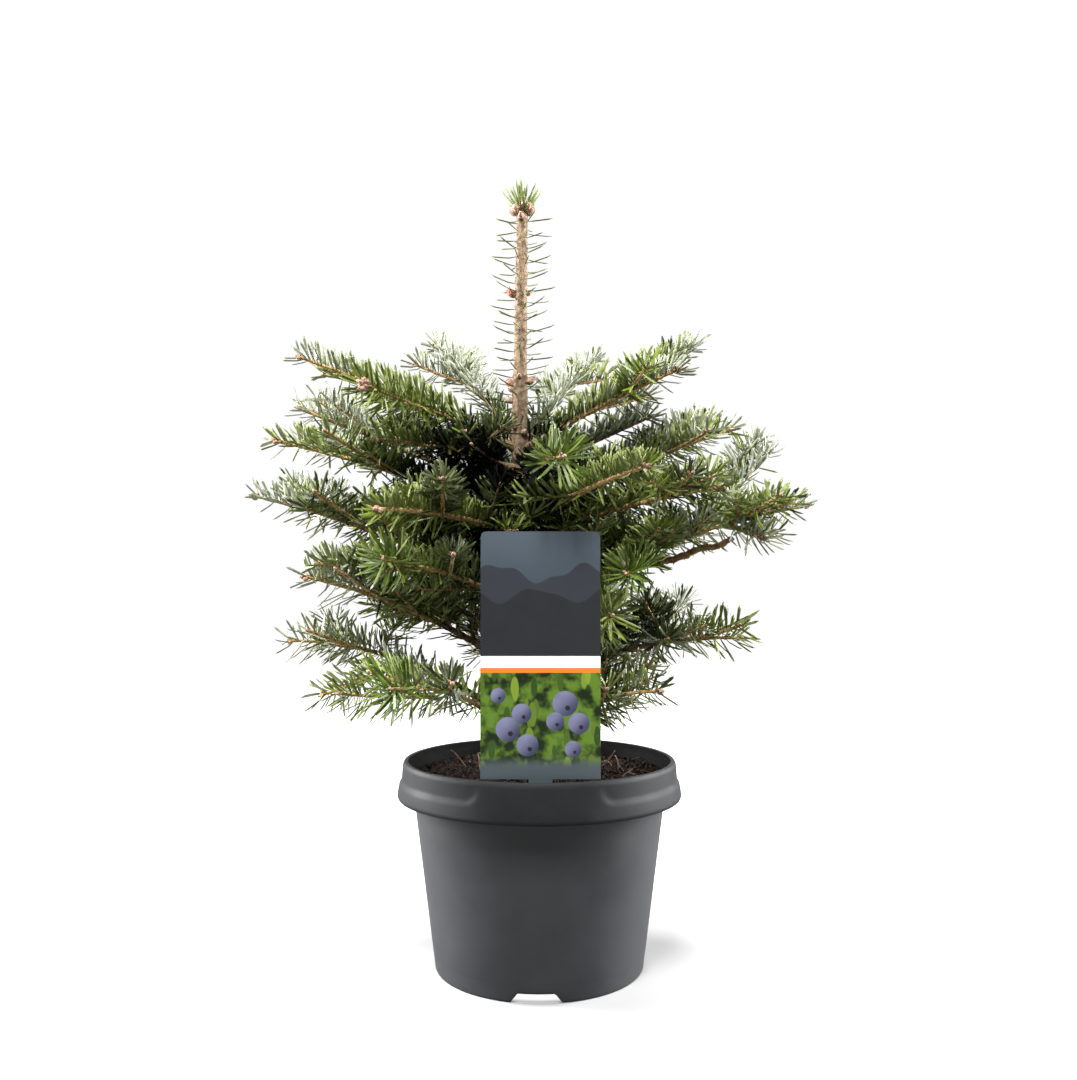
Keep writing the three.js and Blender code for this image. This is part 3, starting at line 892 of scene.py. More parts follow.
# a flat blunt needle along +Y with its upper side to +Z, one unit long, wide and thick
def needleShape(name, bendUp, bendSide):
    points, faces, under, ridges = [], [], [], []
    for share, half in needleSections:
        lift = bendUp * share * share / needles["thickness"]
        aside = bendSide * share * share / needles["width"]
        points += [(aside - half, share, lift), (aside + half, share, lift),
                   (aside, share, lift - (0.75 if half > 0.3 else 0.4))]
    for i in range(len(needleSections) - 1):
        a, b = i * 3, i * 3 + 3
        faces += [(a, a + 1, b + 1, b), (a + 1, a + 2, b + 2, b + 1), (a + 2, a, b, b + 2)]
        under += [False, True, True]
        ridges += [(a, b), (a + 1, b + 1)]
    last = len(points) - 3
    faces += [(0, 2, 1), (last, last + 1, last + 2)]
    under += [True, False]
    mesh = bpy.data.meshes.new(name)
    mesh.from_pydata(points, [], faces)
    layer = mesh.attributes.new("underside", "BOOLEAN", "FACE")
    layer.data.foreach_set("value", under)
    sharp = {tuple(sorted(pair)) for pair in ridges}
    edgeLayer = mesh.attributes.new("sharp_edge", "BOOLEAN", "EDGE")
    edgeLayer.data.foreach_set("value", [tuple(sorted(edge.vertices)) in sharp for edge in mesh.edges])
    mesh.polygons.foreach_set("use_smooth", [True] * len(faces))
    return addObject(name, mesh)


def dropObjects(objects):
    for each in objects:
        bpy.data.objects.remove(each)


# some objects as one pool of instances to pick from
def poolOf(tree, start, label, count):
    pool = addNode(tree, "GeometryNodeJoinGeometry")
    for i in range(count):
        info = addNode(tree, "GeometryNodeObjectInfo")
        info.inputs["As Instance"].default_value = True
        joinUp(tree, (start.outputs[f"{label} {i + 1}"], info.inputs["Object"]),
               (info.outputs["Geometry"], pool.inputs["Geometry"]))
    return pool.outputs[0]


# lays picks of the pool on points and makes plain geometry of them
def layPicks(tree, points, pool, **placing):
    lay = addNode(tree, "GeometryNodeInstanceOnPoints")
    lay.inputs["Pick Instance"].default_value = True
    real = addNode(tree, "GeometryNodeRealizeInstances")
    placing.update(Points=points, Instance=pool)
    joinUp(tree, *((output, lay.inputs[label]) for label, output in placing.items()),
           (lay.outputs[0], real.inputs[0]))
    return real.outputs[0]


# a tree that lays shapes on points by their own direction, face and size
def layingTree(name, shapeCount, looks):
    inputs = [("Points", "NodeSocketGeometry", None), ("Length", "NodeSocketFloat", 0.01),
              ("Width", "NodeSocketFloat", 0.002), ("Thickness", "NodeSocketFloat", 0.001),
              ("Variation", "NodeSocketFloat", 0.1), ("Seed", "NodeSocketInt", 0)]
    inputs += [(f"Shape {i + 1}", "NodeSocketObject", None) for i in range(shapeCount)]
    inputs += [(label, "NodeSocketMaterial", None) for label, _ in looks]
    tree, start, end = newGroup(name, "GeometryNodeTree", inputs, (("Laid", "NodeSocketGeometry"),))

    def named(label, kind):
        node = addNode(tree, "GeometryNodeInputNamedAttribute", data_type=kind)
        node.inputs["Name"].default_value = label
        return node.outputs["Attribute"]

    pool = poolOf(tree, start, "Shape", shapeCount)
    turn = addNode(tree, "FunctionNodeAxesToRotation", primary_axis="Y", secondary_axis="Z")
    feed(tree, turn.inputs, named("along", "FLOAT_VECTOR"), named("face", "FLOAT_VECTOR"))
    sizes = addNode(tree, "ShaderNodeCombineXYZ")
    feed(tree, sizes.inputs, start.outputs["Width"], start.outputs["Length"], start.outputs["Thickness"])
    own = addNode(tree, "ShaderNodeVectorMath", operation="MULTIPLY")
    feed(tree, own.inputs, sizes.outputs[0], named("size", "FLOAT_VECTOR"))
    chance = addNode(tree, "FunctionNodeRandomValue", data_type="FLOAT")
    feed(tree, ofKind(chance.inputs, "VALUE"), calcNode(tree, "SUBTRACT", 1.0, start.outputs["Variation"]),
         calcNode(tree, "ADD", 1.0, start.outputs["Variation"]))
    varied = addNode(tree, "ShaderNodeVectorMath", operation="SCALE")
    joinUp(tree, (start.outputs["Seed"], chance.inputs["Seed"]), (own.outputs[0], varied.inputs[0]),
           (ofKind(chance.outputs, "VALUE")[0], varied.inputs["Scale"]))
    flow = layPicks(tree, start.outputs["Points"], pool, **{
        "Instance Index": named("shape", "INT"), "Rotation": turn.outputs[0], "Scale": varied.outputs[0]})
    for label, tests in looks:
        paint = addNode(tree, "GeometryNodeSetMaterial")
        joinUp(tree, (flow, paint.inputs["Geometry"]), (start.outputs[label], paint.inputs["Material"]))
        picked = None
        for attribute, value in tests:
            if value is True:
                test = named(attribute, "BOOLEAN")
            else:
                same = addNode(tree, "FunctionNodeCompare", data_type="INT", operation="EQUAL")
                feed(tree, ofKind(same.inputs, "INT"), named(attribute, "INT"), value)
                test = same.outputs[0]
            if picked is None:
                picked = test
            else:
                both = addNode(tree, "FunctionNodeBooleanMath", operation="AND")
                feed(tree, both.inputs, picked, test)
                picked = both.outputs[0]
        if picked is not None:
            joinUp(tree, (picked, paint.inputs["Selection"]))
        flow = paint.outputs[0]
    joinUp(tree, (flow, end.inputs["Laid"]))
    return tree


def setInputs(modifier, tree, values):
    for item in tree.interface.items_tree:
        if item.item_type == "SOCKET" and item.in_out == "INPUT" and item.name in values:
            modifier[item.identifier] = values[item.name]


keptLayers = ("sharp_edge", "sharp_face", "material_index")


# turns what the tree makes into a plain mesh and drops the modifier
def settle(piece):
    graph = bpy.context.evaluated_depsgraph_get()
    mesh = bpy.data.meshes.new_from_object(piece.evaluated_get(graph), depsgraph=graph)
    mesh.name = piece.name
    piece.modifiers.clear()
    piece.data = mesh
    for layer in list(mesh.attributes):
        if not (layer.is_internal or layer.is_required or layer.name in keptLayers):
            mesh.attributes.remove(layer)
    mesh.update()
    triangles = sum(len(face.vertices) - 2 for face in mesh.polygons)
    print(" ", piece.name, triangles, "triangles")
    return piece


# sites: arrays of place, along, face, size and the whole numbers shape, tone and backing
def layPiece(name, sites, tree, values):
    mesh = bpy.data.meshes.new(name)
    mesh.vertices.add(len(sites["place"]))
    mesh.vertices.foreach_set("co", (sites["place"] * mm).astype(np.float32).ravel())
    for label in ("along", "face", "size"):
        layer = mesh.attributes.new(label, "FLOAT_VECTOR", "POINT")
        layer.data.foreach_set("vector", sites[label].astype(np.float32).ravel())
    for label in ("shape", "tone", "backing"):
        layer = mesh.attributes.new(label, "INT", "POINT")
        layer.data.foreach_set("value", sites[label].astype(np.int32))
    piece = addObject(name, mesh)
    modifier = piece.modifiers.new("lay", "NODES")
    modifier.node_group = tree
    setInputs(modifier, tree, values)
    return settle(piece)


class Sites:
    def __init__(self):
        self.rows = {label: [] for label in ("place", "along", "face", "size", "shape", "tone", "backing")}

    def add(self, **columns):
        count = len(columns["place"])
        for label, kept in self.rows.items():
            value = np.asarray(columns.get(label, 0))
            shape = (count, 3) if label in ("place", "along", "face", "size") else (count,)
            kept.append(np.broadcast_to(value, shape))

    def arrays(self):
        return {label: np.concatenate(kept) for label, kept in self.rows.items()}

    def count(self):
        return sum(len(part) for part in self.rows["place"])


# painted shade: near black close to the trunk and in the hollow, dark a little further out; grey toward some
# tips
def shadesOn(root, share, manner, draw):
    count = len(root)
    x, y, z = root.T
    away = np.hypot(x - trunkX(float(z.mean())), y) + draw.normal(0, 5, count)
    reach = np.interp(z, shades["heights"], shades["coreReaches"]) + manner["coreMore"]
    deepReach = np.interp(z, shades["heights"], shades["deepReaches"]) + manner["coreMore"]
    if manner["inner"]:
        reach = np.maximum(reach, shades["innerReach"])
    onRight = x > shades["rightFrom"]
    reach = reach * np.where(y > shades["backFrom"], shades["backShare"], 1.0)
    reach = reach * np.where(onRight, shades["rightShare"], 1.0)
    deepReach = deepReach * np.where(onRight, shades["rightDeepShare"], 1.0)
    (middleX, middleZ), (halfWide, halfHigh) = shades["hollow"]
    hollow = np.hypot((x - middleX) / halfWide, (z - middleZ) / halfHigh) < 1
    (coreY, coreHalf), (deepY, deepHalf) = shades["hollowCore"], shades["hollowDeep"]
    reach = np.where(hollow & (np.abs(y - coreY) < coreHalf), np.inf, reach)
    deepReach = np.where(hollow & (np.abs(y - deepY) < deepHalf), np.inf, deepReach)
    atFront = (y < shades["frontFrom"]) & (z < shades["frontHeight"])
    reach = np.where(atFront | manner["lit"], 0.0, reach)
    deepReach = np.where(manner["lit"], 0.0, np.where(atFront, shades["frontDeep"], deepReach))
    coreShaded, dark, greyed = away < reach, away < deepReach, share > manner["greyFrom"]
    tone = np.where(dark & (manner["tone"] != bright), deep, manner["tone"])
    tone = np.where(coreShaded, coreShade, np.where(greyed, grey, tone))
    backing = np.where(coreShaded, backCoreShade, np.where(dark, backDeep, manner["backing"]))
    backing = np.where(greyed, backPale, backing)
    if manner["mixed"]:
        backing = np.where(np.arange(count) * goldenAngle % 1 < shades["mixedShare"], backPale, backing)
    return tone, backing


# needles round a run: most in a comb on its upper side, a few below, and the last ones round the bud
def needleSitesOn(sites, spray, draw, manner):
    path = spray["path"]
    marks = np.concatenate([[0], np.cumsum(np.linalg.norm(np.diff(path, axis=0), axis=1))])
    length = marks[-1]
    start = length * spray["bare"]
    count = int((length - start) * manner["dense"])
    if count < 1:
        return
    even = (np.arange(count) + draw.random(count)) / count
    thins = 1 - manner["outer"]
    spots = start + (length - start) * (even + 0.5 * thins * even * (even - 1))
    place = np.stack([np.interp(spots, marks, path[:, i]) for i in range(3)], axis=1)
    along = unit(np.gradient(path, axis=0))
    along = unit(np.stack([np.interp(spots, marks, along[:, i]) for i in range(3)], axis=1))
    flank, top = crossways(along)
    share = spots / length
    angle = (np.arange(count) * goldenAngle + draw.normal(0, 0.09, count) + math.pi) % (2 * math.pi) - math.pi
    fan = np.clip(1 - (length - spots) / needles["ringedReach" if manner["ringed"] else "plainReach"], 0, 1)
    comb = math.radians(manner["comb"]) * np.sign(angle) * (np.abs(angle) / math.pi) ** 0.85
    chance = draw.random(count)
    hangs = (chance < manner["hanging"]) & (fan < 0.5)
    angle = np.where(fan > 0.5, angle, np.where(hangs, math.pi + draw.uniform(-1.1, 1.1, count), comb))
    hangLean = draw.uniform(48, 74, count)
    lean = np.radians(np.where(hangs, hangLean, manner["lean"] + draw.uniform(-6, 6, count)))
    lean *= 1 - (0.12 if manner["ringed"] else 0.5) * fan
    around = flank * np.sin(angle)[:, None] + top * np.cos(angle)[:, None]
    direction = along * np.cos(lean)[:, None] + around * np.sin(lean)[:, None]
    direction = unit(direction + draw.normal(0, 0.05, (count, 3)))
    faceUp = squared(along * 0.6 + top * 0.6 + draw.normal(0, 0.5, (count, 3)), direction)
    radius = np.interp(share, (0, 1), spray["radii"])
    grown = manner["long"] * (0.8 + 0.22 * np.sin(math.pi * np.clip(share, 0, 1)))
    grown = grown * np.where(hangs, 1.06, 1.0)
    wide = np.where(hangs, 0.74, 1.0) * draw.uniform(0.8, 1.15, count)
    size = np.stack([wide, grown * draw.uniform(0.88, 1.08, count), np.ones(count)], axis=1)
    root = place + around * (radius * 0.75)[:, None]
    tip = root + direction * (size[:, 1] * needles["length"])[:, None]
    keep = np.all(tip > boxLow + needles["inset"], axis=1) & np.all(tip < boxHigh - needles["inset"], axis=1)
    keep &= tip[:, 2] > plant["potHeight"] + 1
    keep &= ~beforeCard(tip) & ~beforeCard(root)
    for centre, clear in needles["clearings"]:
        keep &= np.linalg.norm(tip - centre, axis=1) > clear
        keep &= np.linalg.norm((tip + root) / 2 - centre, axis=1) > clear
    tone, backing = shadesOn(root, share, manner, draw)
    shape = np.where(hangs, draw.integers(4, 6, count), draw.integers(0, 4, count))
    sites.add(place=root[keep], along=direction[keep], face=faceUp[keep], size=size[keep], shape=shape[keep],
              tone=tone[keep], backing=backing[keep])


# the upper face and the underside that most needles of a spray show, by two chances
def shadePair(spray, inside, endOn, chance, paleChance):
    name, kind, tip = spray["name"], spray["kind"], spray["path"][-1]
    lowStorey = name.startswith(("lower", "bottom"))
    # left of the trunk the inner twigs by it are painted dark for shade
    if inside:
        return (mid, backGreen) if tip[0] > 4 else (deep, backDeep)
    if kind == "star":
        return [tone for star, _, _, tone in stars if star == name][0], backGreen
    if name in shades["silver"]:
        return grey, backPale
    pale = shades["paleShares"]
    if kind == "inner":
        (right, behind), (lowest, highest) = shades["dimInside"]
        if tip[0] > right and tip[1] < behind and lowest < tip[2] < highest:
            return deep, backDeep
        if tip[2] < innerTwigs["lowHeight"]:
            return mid if chance < 0.6 else grey, backPale if paleChance < pale["inner"] else backGreen
        return mid if chance > 0.7 else deep, backGreen
    if name in shades["shady"]:
        return deep, backDeep
    if tip[1] > shades["behind"]:
        tone = grey if chance < 0.15 else mid if chance < 0.7 else deep
        return tone, backPale if paleChance < pale["behind"] else backGreen
    if endOn:
        return deep, backDeep
    if tip[1] < shades["before"]:
        return fresh if chance < 0.25 else deep if chance > 0.72 else mid, backGreen
    tones = (mid, grey, mid, grey) if lowStorey else (mid, mid, mid, deep, fresh, grey)
    backing = backPale if paleChance < pale["low" if lowStorey else "high"] else backGreen
    return tones[int(chance * len(tones))], backing


# how the needles of a spray stand and which shades they take
def mannerOf(spray, draw):
    name, kind, root, tip = spray["name"], spray["kind"], spray["path"][0], spray["path"][-1]
    storey = name.split("_")[0]
    stem = kind == "stem"
    chance, paleChance = draw.random(2)
    headOn, forward = needles["endOn"]
    endOn = kind == "shoot" and unit(tip - root)[1] < headOn and tip[1] < forward
    ringed = stem and name in needles["ringed"] or kind == "star" or endOn and spray["chosen"]
    lowest, highest = needles["insideHeights"]
    nearTrunk = math.hypot(root[0] - trunkX(root[2]), root[1]) < needles["insideReach"]
    inside = kind == "inner" and nearTrunk and tip[1] > needles["insideFront"] and lowest < tip[2] < highest
    mixed = name in shades["mixed"] and kind in ("stem", "shoot")
    dense = needles["dense"][storey] * needles["fullness"].get(name, 1.0)
    if kind == "star":
        dense = needles["starDense"]
    elif inside or kind == "inner" and name not in shades["silver"]:
        thin = not inside and tip[2] < innerTwigs["lowHeight"]
        dense = needles["innerDense"] * (0.75 if thin else 1.0)
    if spray["chosen"]:
        dense *= needles["chosenDense"]
    tone, backing = shadePair(spray, inside, endOn, chance, paleChance)
    greys = stem or mixed and spray["chosen"]
    comb = draw.uniform(*needles["comb"])
    lean = needles["ringedLean"] if ringed else draw.uniform(*needles["lean"])
    long = needles["kindLengths"][kind]
    if endOn:
        long = needles["endOnLength"]
    elif ringed and kind != "star":
        long = needles["ringedLength"]
    return {
        "dense": dense,
        "outer": needles["outer" if stem else "outerTwig"],
        "ringed": ringed,
        "coreMore": shades["coreMore"].get(name, 0),
        "inner": inside,
        "mixed": mixed,
        "lit": stem and name in shades["lit"],
        "hanging": needles["hanging"][storey],
        "greyFrom": shades["greyFrom"].get(name, 2.0) if greys else 2.0,
        "comb": comb,
        "lean": lean,
        "long": long * draw.uniform(0.94, 1.08) * needles["longer"].get(storey, 1.0),
        "tone": tone,
        "backing": backing,
    }


sitesOfMass = [Sites() for _ in masses]
drawNeedles = np.random.default_rng(needles["seed"])
for spray in sprays:
    sites = sitesOfMass[spray["mass"]]
    manner = mannerOf(spray, drawNeedles)
    thick = dict(manner, **thickShoot["thick"])
    if spray["name"] == thickShoot["name"] and spray["chosen"]:
        needleSitesOn(sites, spray, drawNeedles, thick)
    elif spray["name"] == thickShoot["name"] and spray["kind"] == "stem":
        split = int(thickShoot["split"] * len(spray["path"]))
        older = dict(spray, path=spray["path"][: split + 1], bare=0)
        newer = dict(spray, path=spray["path"][split:], bare=0.12)
        needleSitesOn(sites, older, drawNeedles, thick)
        needleSitesOn(sites, newer, drawNeedles, dict(manner, **thickShoot["beyond"]))
    else:
        needleSitesOn(sites, spray, drawNeedles, manner)

# the older ones get fewer lower down
for order, row in enumerate(boughs):
    if row.bare:
        inner = {"path": boughRun(row, 0.02, row.bare, 12), "bare": 0.12,
                 "radii": (plant["boughRadius"], plant["boughTipRadius"])}
        share = min(1.0, max(0.1, (row.height - 140) / 70))
        dense = boughNeedles["dense"] * share * (1.8 if row.height > 270 else 1.0)
        # painted shade: near black in the hollow of the crown, dark elsewhere
        tone = coreShade if 210 < row.height < 275 else deep
        needleSitesOn(sitesOfMass[order], inner, drawNeedles, dict(boughNeedles, dense=dense, tone=tone))

leader = {
    "needles": 104,
    "from": 303.0,  # height of the lowest
    "below": 4.0,  # how far under the trunk's top the highest is
    "rise": (-0.16, 0.2),
    "tuft": 46,
    "tuftHeights": (429.0, 436.5),
    "tuftReach": 2.2,  # from the trunk's middle
    "tuftMid": 0.45,  # share of its needles that are less deep
    # height, azimuth, size
    "sideBuds": (
        (381, 180, 1.6), (382, 15, 1.2), (329, 175, 1.6), (325, 200, 1.2), (330, -8, 1.5), (319, 178, 1.3),
        (333, 265, 0.8), (300, 300, 1.1), (303, 240, 1.0), (299, 10, 0.9), (429, 183, 1.7), (431, 160, 1.3),
        (429, -5, 1.7), (431, 20, 1.3), (426, 262, 1.2), (432, 285, 1.3), (430, 225, 1.4), (431, 315, 1.4),
        (431, 70, 1.2),
    ),
}


# thin needles that stand out level from the bare leader
def leaderNeedles(sites, draw):
    count = leader["needles"]
    reach = plant["trunkTop"] - leader["below"] - leader["from"]
    heights = leader["from"] + reach * (np.arange(count) + draw.random(count)) / count
    angles = np.arange(count) * goldenAngle
    outward = np.stack([np.cos(angles), np.sin(angles), draw.uniform(*leader["rise"], count)], axis=1)
    direction = unit(outward)
    axisPoints = np.array([trunkPoint(z) for z in heights])
    radius = np.array([trunkRadius(z) for z in heights]) * 0.85
    upward = np.array((0.0, 0.0, 1.0)) + draw.normal(0, 0.16, (count, 3))
    wide, long = draw.uniform(0.5, 0.72, count), draw.uniform(0.82, 1.12, count)
    size = np.stack([wide, long, np.ones(count)], axis=1)
    tone = np.where(np.arange(count) % 2, grey, deep)
    sites.add(place=axisPoints + unit(outward * (1, 1, 0)) * radius[:, None], along=direction,
              face=unit(upward - direction * direction[:, 2:3]), size=size, shape=draw.integers(0, 4, count),
              tone=tone, backing=backGreen)


# the steep needles round the buds at its tip
def tuftNeedles(sites, draw):
    count = leader["tuft"]
    heights = draw.uniform(*leader["tuftHeights"], count)
    angles = np.arange(count) * goldenAngle
    spread = np.interp(heights, leader["tuftHeights"], (1.6, 0.2)) + draw.uniform(0, 0.6, count)
    outward = np.stack([spread * np.cos(angles), spread * np.sin(angles), np.ones(count)], axis=1)
    direction = unit(outward)
    faceUp = np.array((0.0, 0.0, 1.0)) - np.stack([np.cos(angles), np.sin(angles), 0 * angles], axis=1)
    place = np.array([trunkPoint(z) for z in heights]) + unit(outward * (1, 1, 0)) * leader["tuftReach"]
    # none may grow out of the part's box
    longest = needles["length"] * (1 + needles["variation"])
    room = (boxHigh[2] - 0.5 - place[:, 2]) / (direction[:, 2] * longest)
    long = np.minimum(draw.uniform(0.6, 0.98, count), room)
    wide = draw.uniform(0.55, 0.85, count)
    sites.add(place=place, along=direction, face=squared(faceUp, direction),
              size=np.stack([wide, long, np.ones(count)], axis=1), shape=draw.integers(0, 3, count),
              tone=np.where(draw.random(count) < leader["tuftMid"], mid, deep), backing=backGreen)


leaderSites = Sites()
leaderNeedles(leaderSites, drawNeedles)
tuftNeedles(leaderSites, drawNeedles)

needleShapes = [needleShape(f"needleShape{i + 1}", *bend) for i, bend in enumerate(needleBends)]
shadeLooks = [(f"Upper {k + 1}", (("tone", k),)) for k in range(len(shades["uppers"]))]
for k in range(len(shades["unders"])):
    shadeLooks.append((f"Under {k + 1}", (("underside", True), ("backing", k))))
needleLayer = layingTree("layNeedles", len(needleShapes), shadeLooks)
needleValues = {
    "Length": needles["length"] * mm,
    "Width": needles["width"] * mm,
    "Thickness": needles["thickness"] * mm,
    "Variation": needles["variation"],
    "Seed": needles["seed"],
}
for i, shape in enumerate(needleShapes):
    needleValues[f"Shape {i + 1}"] = shape
for label, rows, finish in (("Upper", "uppers", "upperFinish"), ("Under", "unders", "underFinish")):
    for k, (name, *colors) in enumerate(shades[rows]):
        surface = shades["coreFinish" if "Core" in name else finish]
        needleValues[f"{label} {k + 1}"] = patchyMaterial(name, colors, **shades["patch"], **surface)


def finishPiece(piece, nodes=()):
    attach(piece, "root")
    if nodes:
        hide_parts(*nodes)


# puts as many masses into each piece as its limit holds
def layNeedlePieces():
    waiting, nodes, number, total = Sites(), [], 1, 0
    groups = [("foliage_leader", leaderSites)]
    groups += [(f"foliage_{row.name}", sites) for row, sites in zip(boughs, sitesOfMass)]
    for i, (node, sites) in enumerate(groups):
        for label, kept in sites.rows.items():
            waiting.rows[label] += kept
        nodes.append(node)
        following = groups[i + 1][1].count() if i + 1 < len(groups) else needles["pieceLimit"]
        if waiting.count() + following > needles["pieceLimit"]:
            piece = layPiece(f"needles_{number}", waiting.arrays(), needleLayer, needleValues)
            finishPiece(piece, nodes)
            total += waiting.count()
            waiting, nodes, number = Sites(), [], number + 1
    print("needles laid:", total)


layNeedlePieces()
dropObjects(needleShapes)

# bark: trunk, boughs and twigs

bark = {
    "pegPitch": 1.15,  # one needle peg for each of these along a limb
    "pegHeight": 0.42,
    "pegSize": 0.85,
    "ringStep": 0.9,
    "trunkSides": 36,
    "boughSides": 14,
    "twigSides": 6,
    # on the trunk, by height: how much slimmer than its taper, how young and how old it looks
    "trunkSlim": ((100, 330, 342, 430), (0, 0, 0.55, 0.0)),
    "trunkYoung": ((120, 300), (0.3, 1.0)),
    "trunkAge": ((110, 220, 318, 345), (1.0, 0.85, 0.25, 0.0)),
    "collar": (0.9, 2.5),  # how thick and long, where a bough leaves the trunk
    "twigAge": {"stem": 0.5, "shoot": 0.2, "twig": 0.15, "inner": 0.7, "star": 0.3},
    "litAge": 0.1,
    "trunk": ((152, 129, 106), (92, 74, 57)),
    "trunkGrain": 420,
    "twig": ((200, 172, 118), (132, 102, 60)),
    "twigGrain": 800,
    # darker rind of old bark, also painted on as shade inside the crown
    "darkRind": ((104, 84, 66), (58, 45, 36)),
    "oldGrain": 300,
    "scar": (116, 78, 46),
    "finish": {"roughness": 0.85, "specular": 0.3, "relief": 0.15, "reliefScale": 1500},
    "seeds": {"trunkPegs": 5, "trunk": 6, "boughPegs": 40, "twigs": 9},
}


# young rind in patches, a darker rind by the mesh's own age and painted shade, and the colour of a needle
# scar on top
def barkMaterial(name, colors, grain):
    look = patchyMaterial(name, colors, grain, **bark["finish"])
    tree = look.node_tree
    shader = tree.nodes["Principled BSDF"]
    young = shader.inputs["Base Color"].links[0].from_socket
    darkRind = addMottle(tree, bark["oldGrain"], patchEdges, bark["darkRind"])
    age = addNode(tree, "ShaderNodeAttribute", attribute_name="age")
    scar = addNode(tree, "ShaderNodeAttribute", attribute_name="scar")
    darkened = mixNode(tree, age.outputs["Fac"], young, darkRind.outputs["Color"])
    scarred = mixNode(tree, scar.outputs["Fac"], darkened, srgb(*bark["scar"]))
    joinUp(tree, (scarred, shader.inputs["Base Color"]))
    return look


trunkLook = barkMaterial("trunkRind", bark["trunk"], bark["trunkGrain"])
twigLook = barkMaterial("twigRind", bark["twig"], bark["twigGrain"])


# relief of the needle pegs on a limb, as a height and a scar mask for each ring and side
def pegRelief(marks, radii, sides, seed):
    draw = np.random.default_rng(seed)
    angles = np.arange(sides) * 2 * math.pi / sides
    height = np.zeros((len(marks), sides))
    scar = np.zeros_like(height)
    spots = np.arange(marks[0] + 1, marks[-1] - 0.5, bark["pegPitch"])
    for k, spot in enumerate(spots):
        near = np.abs(marks - spot) < 3 * bark["pegSize"]
        across = (angles - k * goldenAngle + math.pi) % (2 * math.pi) - math.pi
        across = across[None, :] * radii[near, None]
        down = (marks[near] - spot)[:, None]
        size = bark["pegSize"] * draw.uniform(0.8, 1.2)
        bump = np.exp(-(down / (1.2 * size)) ** 2 - (across / size) ** 2)
        height[near] += bump * bark["pegHeight"] * draw.uniform(0.6, 1.1)
        inScar = np.exp(-((down - 0.4) / (0.5 * size)) ** 2 - (across / (0.5 * size)) ** 2)
        scar[near] = np.maximum(scar[near], inScar)
    return height, scar


def barkPiece(pile, name, look, nodes=()):
    piece = pile.build(name)
    piece.data.materials.append(look)
    finishPiece(piece, nodes)


def makeTrunk():
    pile = Pile("age", "scar")
    sides = bark["trunkSides"]
    zs = np.arange(plant["trunkFoot"], plant["trunkTop"] + 0.1, bark["ringStep"])
    radii = np.array([trunkRadius(z) for z in zs]) - np.interp(zs, *bark["trunkSlim"])
    path = np.stack([[trunkX(z) for z in zs], np.zeros(len(zs)), zs], axis=1)
    height, scar = pegRelief(zs, radii, sides, bark["seeds"]["trunkPegs"])
    draw = np.random.default_rng(bark["seeds"]["trunk"])
    rough = draw.normal(0, 0.10, height.shape)
    rough = (rough + np.roll(rough, 1, 0) + np.roll(rough, 1, 1)) / 1.7
    young = np.interp(zs, *bark["trunkYoung"])[:, None]
    points, faces = tube(path, radii[:, None] + height * young + rough * (1.15 - young * 0.6) - 0.1, sides)
    age = np.repeat(np.interp(zs, *bark["trunkAge"]), sides)
    scar = (scar * young).ravel() * 0.8
    pile.add(points, faces, age=np.append(age, (1.0, 0.0)), scar=np.append(scar, (0, 0)))
    barkPiece(pile, "trunk_bark", trunkLook, ["trunk"])


def makeBoughs():
    pile = Pile("age", "scar")
    thick, long = bark["collar"]
    for order, row in enumerate(boughs):
        reach = row.bare if row.bare else 0.12
        steps = max(8, int(row.reach * reach))
        path = boughRun(row, 0, reach, steps)
        marks = np.linspace(0, np.linalg.norm(np.diff(path, axis=0), axis=1).sum(), steps + 1)
        radii = np.linspace(plant["boughRadius"], plant["stemRadius"], steps + 1)
        radii = radii + thick * np.exp(-np.maximum(0, marks - trunkRadius(row.height)) / long)
        height, scar = pegRelief(marks, radii, bark["boughSides"], bark["seeds"]["boughPegs"] + order)
        points, faces = tube(path, radii[:, None] + 0.7 * height - 0.15, bark["boughSides"])
        # older rind, darkened further as painted shade inside the crown, most on the lower boughs
        age = 1.0 if row.height < 230 else 0.8
        pile.add(points, faces, age=age, scar=np.append(scar.ravel() * 0.5, (0, 0)))
    barkPiece(pile, "boughs_bark", twigLook, [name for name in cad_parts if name.startswith("bough_")])


# a dead stub with peeling rind, below the long bough on the right
brokenStub = {
    "path": ((46, -6, 230), (62, -10, 225.5), (76, -14, 228), (90, -16, 234), (100, -17, 235),
             (108, -18, 240)),
    "radii": (2.2, 1.5),
    "rings": 46,
    "sides": 9,
    "wobble": 0.16,
    "flakes": 16,
    "flakeHalves": (0.7, 0.8, 0.6, 0.4, 0.2),
    "flakeSides": (1, 0.3, 1, 0.3),
}


def addStub(pile, draw):
    knots = np.array(brokenStub["path"], float)
    rings, sides, wobble = brokenStub["rings"], brokenStub["sides"], brokenStub["wobble"]
    t = np.linspace(0, 1, rings)
    path = np.stack([np.interp(t, np.linspace(0, 1, len(knots)), knots[:, i]) for i in range(3)], axis=1)
    path[1:-1] += draw.normal(0, wobble, (rings - 2, 3))
    radii = np.linspace(*brokenStub["radii"], rings)[:, None] * (1 + draw.normal(0, wobble, (rings, sides)))
    points, faces = tube(path, radii, sides)
    pile.add(points, faces, age=0.55, scar=0.25)
    halves = np.array(brokenStub["flakeHalves"])[:, None] * np.array(brokenStub["flakeSides"])
    for _ in range(brokenStub["flakes"]):
        k = int(draw.integers(12, rings - 2))
        along = unit(path[k + 1] - path[k])
        flank, top = crossways(along[None, :].copy())
        angle = draw.uniform(0, 2 * math.pi)
        out = flank[0] * math.cos(angle) + top[0] * math.sin(angle)
        root = path[k] + out * 1.3
        tip = root + unit(out * draw.uniform(0.3, 1.0) + along * draw.uniform(-1, 1)) * draw.uniform(1.6, 3.6)
        points, faces = tube(bezier(root, tip, -0.5, 4), halves, 4)
        pile.add(points, faces, age=0.6, scar=0.3)


